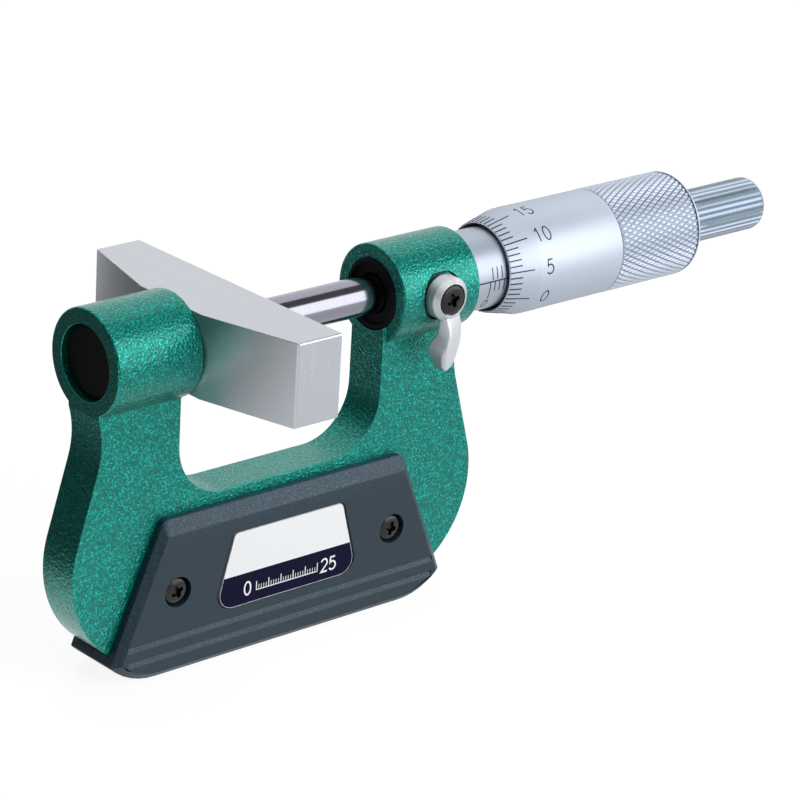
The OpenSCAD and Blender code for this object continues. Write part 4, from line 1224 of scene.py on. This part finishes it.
class MICROMETER_OT_thimble(bpy.types.Operator):
    """Turns the thimble, with its graduated bevel and its diamond knurl"""

    bl_idname = "micrometer.thimble"
    bl_label = "Thimble"

    def execute(self, context):
        sizes, scale = context.scene.micrometer_thimble, context.scene.micrometer_scale
        bore, edge, body = [d / 2 / MM for d in (sizes.bore, sizes.edge, sizes.body)]
        bevel_x = THIMBLE_X + sizes.bevel / MM
        knurl_x = THIMBLE_X + sizes.knurl_start / MM
        knurl_end = THIMBLE_END - sizes.knurl_end / MM
        rim = sizes.rim / MM
        peak = radius("thimble") - 0.01
        core = peak - sizes.knurl_depth / MM - 0.25
        # Inside, the wall that sits on the spindle's taper, and the hole behind it
        web, seat = THIMBLE_END - 8.7, THIMBLE_END - 2.2
        taper_front, taper_back, rear_hole = 3.43, 2.93, 3.68
        flare, flare_length = 0.04, 0.6
        lip, lip_slope = 0.2, 0.18
        soft, groove_depth, chamfer = 0.08, 0.3, 0.2
        profile = ([(THIMBLE_X + flare_length, bore), (THIMBLE_X, bore + flare), (THIMBLE_X, bore + lip),
                    (THIMBLE_X + lip_slope, edge), (bevel_x - soft, body - 0.02), (bevel_x + soft, body),
                    (knurl_x - 4 * soft, body), (knurl_x - 2 * soft, body - 0.05),
                    (knurl_x - soft, body - groove_depth), (knurl_x, core), (knurl_end, core),
                    (knurl_end + 0.1, body - groove_depth), (knurl_end + 0.16, body)]
                   + rounded_end(THIMBLE_END, body, rim)
                   + [(THIMBLE_END, rear_hole + chamfer), (THIMBLE_END - chamfer, rear_hole),
                      (seat, rear_hole), (seat, taper_back), (web, taper_front), (web, bore)])
        shell = lathe("shell", profile, finish("chrome"))
        # The front edge's inner rim is painted black with the ink as painted shade, so that the gap round the
        # sleeve looks deep
        shell.data.materials.append(finish("ink"))
        for polygon in shell.data.polygons:
            at_front = polygon.normal.x < -0.99 and polygon.center.x < (THIMBLE_X + 0.01) * MM
            if at_front and polygon.center.yz.length < (bore + lip) * MM:
                polygon.material_index = 1
        knurl = from_tree("knurl", knurl_tree(), {
            "Start": (knurl_x - 0.06) * MM, "Length": (knurl_end - knurl_x + 0.1) * MM,
            "Valley radius": peak * MM - sizes.knurl_depth, "Core radius": (core - 0.2) * MM,
            "Depth": sizes.knurl_depth, "Flat": 0.5, "Diamonds": sizes.diamonds, "Rows": sizes.rows,
            "Steps": sizes.steps, "Material": finish("knurl")})
        smooth(knurl.data, 25)
        thimble = join_all("thimble_shell", [shell, knurl])
        place_piece(thimble, "spindle", ["thimble"])

        tree = bpy.data.node_groups.get("Graduations") or graduation_tree()
        step = 2 * pi / scale.divisions
        zero_turn = scale.index_turn - scale.reading * step
        # The lines start on the lip's slope, a little behind the front edge
        line_x = THIMBLE_X + 0.15
        ticks = from_tree("ticks", tree, {
            "Count": scale.divisions, "Along": 0.0, "Around": step, "Start along": line_x * MM,
            "Start turn": zero_turn, "Short": scale.thimble_short, "Long": scale.thimble_long, "Every": 5,
            "Width": scale.thimble_line, "Lengthways": 1.0, "Radius": edge * MM, "Radius end": body * MM,
            "Cone from": THIMBLE_X * MM, "Cone length": sizes.bevel, "Material": finish("ink")})
        shape = bmesh.new()
        digit_x, digit_line = bevel_x + 2.0, 0.24
        for five in range(0, scale.divisions, 5):
            wrap = turned_place(body, zero_turn + five * step)
            number(shape, str(five), (digit_x, 0), scale.thimble_digit / MM, digit_line, wrap)
        numbers = mesh_of("numbers", shape, finish("ink"))
        marks = join_all("thimble_scale", [ticks, numbers])
        place_piece(marks, "spindle")
        return {"FINISHED"}


class MICROMETER_OT_ratchet(bpy.types.Operator):
    """Finishes the fluted knob of the ratchet"""

    bl_idname = "micrometer.ratchet"
    bl_label = "Ratchet knob"

    def execute(self, context):
        sizes = context.scene.micrometer_knob
        r, collar, rim = sizes.diameter / 2 / MM, sizes.collar / MM, sizes.rim / MM
        bore, pocket, axle = [d / 2 for d in (7.36, 5.6, 3.5)]
        edge, slope = 0.12, 0.06
        collar_r, collar_end = r - 0.25, KNOB_X + collar
        pocket_floor, bore_end = KNOB_END - 1.6, KNOB_END - 4
        flute_start, flute_end = collar_end + 0.15, KNOB_END - 0.45
        # Rings along the fluted length let the grooves fade in
        rings = 8
        fluted = [(flute_start + (KNOB_END - rim - flute_start) * i / rings, r) for i in range(rings)]
        profile = ([(KNOB_X, bore), (KNOB_X, collar_r - edge), (KNOB_X + edge, collar_r),
                    (collar_end, collar_r), (collar_end + slope, r - 0.05), (collar_end + 2 * slope, r)]
                   + fluted + rounded_end(KNOB_END, r, rim)
                   + [(KNOB_END, pocket), (pocket_floor, pocket), (pocket_floor, axle),
                      (bore_end, axle), (bore_end, bore)])
        knob = lathe("knob_fluted", profile, finish("knob"), steps=12 * sizes.flutes)
        set_inputs(knob, flutes_tree(), {
            "Count": sizes.flutes, "Depth": sizes.depth, "Share": 0.5, "Start": flute_start * MM,
            "End": flute_end * MM, "Fade": 0.5 * MM, "Radius": (r - 1.0) * MM, "Material": finish("knob")})
        plain_mesh(knob)
        smooth(knob.data, 22)
        place_piece(knob, "ratchet", ["ratchet_knob"])
        return {"FINISHED"}


# The lever's tail from the hub down: height under the axis, then the left, ridge, right and back corners
# beside the axis and before it, in millimetres
LEVER_TAIL = (
    (2.3, (-1.35, -8.75), (-0.85, -9.85), (2.4, -9.35), (2.4, -8.7)),
    (3.6, (-1.5, -8.75), (-0.85, -10.2), (2.72, -9.4), (2.72, -8.7)),
    (4.8, (-1.58, -8.65), (-0.66, -10.6), (3.0, -9.4), (3.0, -8.6)),
    (6.0, (-1.65, -8.45), (-0.66, -10.9), (3.12, -9.4), (3.12, -8.4)),
    (7.0, (-2.05, -7.95), (-0.86, -11.02), (3.1, -9.38), (3.1, -8.0)),
    (8.0, (-2.42, -7.68), (-1.18, -11.08), (3.02, -9.35), (3.0, -7.75)),
    (9.0, (-2.25, -7.66), (-1.45, -11.08), (2.75, -9.35), (2.7, -7.72)),
    (10.0, (-1.98, -7.8), (-1.5, -11.0), (2.4, -9.36), (2.35, -7.9)),
    (11.0, (-1.68, -8.15), (-1.32, -10.8), (2.02, -9.38), (2.0, -8.25)),
    (11.8, (-1.2, -8.5), (-0.9, -10.5), (1.35, -9.4), (1.3, -8.6)),
    (12.05, (-0.6, -8.8), (-0.45, -10.1), (0.8, -9.42), (0.75, -8.9)),
)


def between(rows, t):
    """A smooth value between rows of numbers, at a place t from 0 to the last row."""
    i = min(int(t), len(rows) - 2)
    f = t - i
    near = [rows[max(0, min(len(rows) - 1, i + k))] for k in (-1, 0, 1, 2)]
    return [0.5 * (2 * b + (c - a) * f + (2 * a - 5 * b + 4 * c - d) * f * f
                   + (3 * b - a - 3 * c + d) * f ** 3)
            for a, b, c, d in zip(*near)]


def lever_tail(x, z, material):
    """The lever's blade, from its outlines at several heights."""
    rows = [(down, *[v for corner in corners for v in corner]) for down, *corners in LEVER_TAIL]
    radii = (0.28, 0.75, 0.3, 0.2)
    # The corners' radii shrink over the last of the tail
    tip, shrink_over = 12.35, 1.2
    shape = bmesh.new()
    rings = []
    steps = 4
    for i in range((len(rows) - 1) * steps + 1):
        down, *flat = between(rows, i / steps)
        corners = [(flat[2 * k], flat[2 * k + 1]) for k in range(4)]
        shrink = min(1.0, (tip - down) / shrink_over)
        outline = rounded_outline([(u, v, r * shrink) for (u, v), r in zip(corners, radii)], steps=6)
        rings.append([shape.verts.new(Vector((x + p.x, p.y, z - down)) * MM) for p in outline])
    n = len(rings[0])
    for here, there in zip(rings, rings[1:]):
        for j in range(n):
            k = (j + 1) % n
            shape.faces.new((here[j], here[k], there[k], there[j]))
    shape.faces.new(rings[0])
    shape.faces.new(rings[-1][::-1])
    tail = mesh_of("tail", shape, material)
    smooth(tail.data, 40)
    return tail


class MICROMETER_OT_lock(bpy.types.Operator):
    """Finishes the lock's lever and its screw"""

    bl_idname = "micrometer.lock"
    bl_label = "Spindle lock"

    def execute(self, context):
        x0, x1 = span("lock_lever", 0)
        hub_r = (x1 - x0) / 2
        x, z = (x0 + x1) / 2, span("lock_lever", 2)[1] - hub_r
        # How far out from the spindle's axis the hub's back, its screw's seat and its rim lie, and the
        # radii of its hole and of the seat
        back, seat, rim, hole_r, seat_r = 7.65, 9.0, 10.3, 2.06, 2.62
        hub = lathe("hub", [
            (back, hole_r), (back, hub_r - 0.1), (back + 0.1, hub_r), (9.42, hub_r), (9.58, hub_r - 0.04),
            (9.72, hub_r - 0.15), (10.18, 2.86), (10.28, 2.78), (rim, 2.72), (10.28, 2.66), (10.2, seat_r),
            (seat, seat_r), (seat, hole_r)], finish("lever"), steps=128, place=about_cross(x, z), angle=25)
        lever = join_all("lever_satin", [hub, lever_tail(x, z, finish("lever"))])
        place_piece(lever, "lock_lever", ["lock_lever"])
        (sx0, sx1), (sy0, sy1) = span("lock_screw", 0), span("lock_screw", 1)
        dome, shank_r = 0.6, 1.25
        screw = cross_screw("lever_screw", x, z, seat + 0.02, seat + 1.12, -sy0 + dome, (sx1 - sx0) / 2,
                            (shank_r, -sy1))
        place_piece(screw, "lock_lever", ["lock_screw"])
        return {"FINISHED"}


def sheet(name, width, height, place, aim, material):
    """A flat sheet that faces a point."""
    shape = bmesh.new()
    bmesh.ops.create_grid(shape, x_segments=1, y_segments=1, size=0.5)
    turn = (Vector(aim) - Vector(place)).to_track_quat("Z", "Y").to_matrix().to_4x4()
    shape.transform(Matrix.Translation(place) @ turn @ Matrix.Diagonal((width, height, 1, 1)))
    mesh = bpy.data.meshes.new(name)
    shape.to_mesh(mesh)
    shape.free()
    mesh.materials.append(material)
    return add_object(name, mesh)


def card_material(name, strength):
    """A plain white glow."""
    material = bpy.data.materials.new(name)
    material.use_nodes = True
    nodes = material.node_tree.nodes
    nodes.clear()
    tree = Tree(material.node_tree)
    glow = tree.add("ShaderNodeEmission", {"Color": WHITE, "Strength": strength})
    tree.link(glow.outputs[0], tree.add("ShaderNodeOutputMaterial").inputs[0])
    return material


def seen_ray(tree):
    """1 on camera, glossy and transmission rays and 0 on the others, and all the kinds of rays."""
    path = tree.add("ShaderNodeLightPath").outputs
    both = tree.math("MAXIMUM", path["Is Camera Ray"], path["Is Glossy Ray"])
    return tree.math("MAXIMUM", both, path["Is Transmission Ray"]), path


class MICROMETER_OT_stage(bpy.types.Operator):
    """Sets the floor, the lights and the camera"""

    bl_idname = "micrometer.stage"
    bl_label = "Stage"

    def execute(self, context):
        sizes = context.scene.micrometer_stage
        self.make_world(sizes.world)
        sole = packed_bounds[0][2] - 0.02 * MM
        floor = sheet("stage_floor", 8, 8, (0, 0, sole), (0, 0, 1), self.floor_material())
        ceiling = self.card("stage_ceiling", 0.34, 0.34, (0.41, -0.13, 0.46), 0.12)
        softbox = self.lamp("stage_softbox", 0.75, 0.7, (0.63, -0.74, 0.26), sizes.softbox)
        fill = self.lamp("stage_fill", 0.7, 0.6, (0.3, -0.9, 0.25), sizes.fill)
        fill.visible_glossy = False
        overhead = self.lamp("stage_overhead", 0.7, 0.7, (0.25, 0.3, 0.9), sizes.overhead)
        overhead.visible_glossy = False
        camera = self.camera(sizes)
        context.scene.camera = camera
        context.scene.view_settings.view_transform = "Standard"
        return {"FINISHED"}

    def camera(self, sizes):
        """The camera, turned about Z, raised and rolled about its own axis."""
        az, el, roll = sizes.azimuth, sizes.elevation, sizes.roll
        right = Vector((cos(az), sin(az), 0))
        up = Vector((-sin(az) * sin(el), cos(az) * sin(el), cos(el)))
        back = Vector((sin(az) * cos(el), -cos(az) * cos(el), sin(el)))
        right_rolled = right * cos(roll) + up * sin(roll)
        up_rolled = up * cos(roll) - right * sin(roll)
        turn = Matrix((right_rolled, up_rolled, back)).transposed().to_4x4()
        made = add_object("stage_camera", bpy.data.cameras.new("stage_camera"))
        made.matrix_world = Matrix.Translation(sizes.place) @ turn
        made.data.lens = sizes.lens
        made.data.clip_start = 0.01
        return made

    def lamp(self, name, width, height, direction, power):
        """A soft square light that aims at the object from a direction."""
        aim, distance = Vector((0.02, 0, -0.01)), 0.7
        data = bpy.data.lights.new(name, "AREA")
        data.shape = "RECTANGLE"
        data.size, data.size_y = width, height
        data.energy = power
        made = add_object(name, data)
        away = Vector(direction).normalized()
        made.location = aim + away * distance
        made.rotation_euler = away.to_track_quat("Z", "Y").to_euler()
        return made

    def card(self, name, width, height, place, strength):
        """A glowing sheet that only polished surfaces see."""
        made = sheet(name, width, height, place, (0.02, 0, 0), card_material(name, strength))
        made.visible_camera = made.visible_diffuse = made.visible_shadow = made.visible_transmission = False
        return made

    def make_world(self, strength):
        """The studio's soft light, white behind the object."""
        world = bpy.data.worlds.new("Studio")
        bpy.context.scene.world = world
        world.use_nodes = True
        tree = Tree(world.node_tree)
        shader = world.node_tree.nodes["Background"]
        seen, path = seen_ray(tree)
        level = tree.ramp(seen, 0.0, 1.0, strength, 1.0)
        # Polished sides see a room that is lit from the right and dark on the left
        away = tree.parts(tree.surface("Generated"))
        toward = tree.math("MULTIPLY_ADD", away[2], 0.8, away[0])
        room = tree.ramp(toward, -0.25, 0.4, 0.07, 1.0)
        shown = tree.blend(path["Is Glossy Ray"], level, room)
        shader.inputs["Color"].default_value = WHITE
        tree.link(shown, shader.inputs["Strength"])

    def floor_material(self):
        """A pale floor that keeps the object's shadow."""
        material = bpy.data.materials.new("Pale floor")
        material.use_nodes = True
        nodes = material.node_tree.nodes
        nodes.clear()
        tree = Tree(material.node_tree)
        seen, path = seen_ray(tree)
        plain = tree.math("MULTIPLY", seen, 0.9)
        # Polished sides see a floor that is dark at the back left and duller at the front right
        x, y = tree.parts(tree.surface())[:2]
        dark, bright, front_loss = 0.04, 0.95, -0.38
        aside = tree.math("MULTIPLY_ADD", y, 0.25, x)
        right = tree.ramp(aside, 0.005, 0.03, dark, bright)
        near = tree.ramp(y, 0.018, 0.052, bright, dark)
        toward = tree.math("MULTIPLY_ADD", x, 0.7, tree.math("MULTIPLY", y, -0.6))
        front = tree.ramp(toward, -0.02, 0.08, 0.0, front_loss)
        fading = tree.math("MAXIMUM", dark, tree.math("ADD", tree.math("MAXIMUM", right, near), front))
        shown = tree.blend(path["Is Glossy Ray"], plain, fading)
        glow = tree.add("ShaderNodeEmission", {"Color": WHITE, "Strength": shown})
        matt = tree.add("ShaderNodeBsdfDiffuse", {"Color": (0.2, 0.2, 0.2, 1)})
        both = tree.add("ShaderNodeAddShader", {0: glow.outputs[0], 1: matt.outputs[0]})
        tree.link(both.outputs[0], tree.add("ShaderNodeOutputMaterial").inputs[0])
        return material


OPERATORS = (
    MICROMETER_OT_finishes, MICROMETER_OT_stage, MICROMETER_OT_inner_pieces, MICROMETER_OT_frame,
    MICROMETER_OT_anvil, MICROMETER_OT_covers, MICROMETER_OT_label, MICROMETER_OT_spindle,
    MICROMETER_OT_sleeve, MICROMETER_OT_thimble, MICROMETER_OT_ratchet, MICROMETER_OT_lock,
)


class MICROMETER_PT_sidebar(bpy.types.Panel):
    """Lists the micrometer's steps"""

    bl_idname = "MICROMETER_PT_sidebar"
    bl_label = "Large anvil micrometer"
    bl_space_type = "VIEW_3D"
    bl_region_type = "UI"
    bl_category = "Micrometer"

    def draw(self, context):
        for operator in OPERATORS:
            self.layout.operator(operator.bl_idname)


GROUPS = {"micrometer_thimble": ThimbleSizes, "micrometer_knob": KnobSizes, "micrometer_scale": ScaleSizes,
          "micrometer_finish": FinishColours, "micrometer_stage": StageSizes}
CLASSES = (*GROUPS.values(), *OPERATORS, MICROMETER_PT_sidebar)


def register():
    for cls in CLASSES:
        bpy.utils.register_class(cls)
    for name, group in GROUPS.items():
        setattr(bpy.types.Scene, name, PointerProperty(type=group))


def unregister():
    for name in GROUPS:
        delattr(bpy.types.Scene, name)
    for cls in reversed(CLASSES):
        bpy.utils.unregister_class(cls)


def main():
    register()
    for operator in OPERATORS:
        family, step = operator.bl_idname.split(".")
        getattr(getattr(bpy.ops, family), step)()


if __name__ == "__main__":
    main()
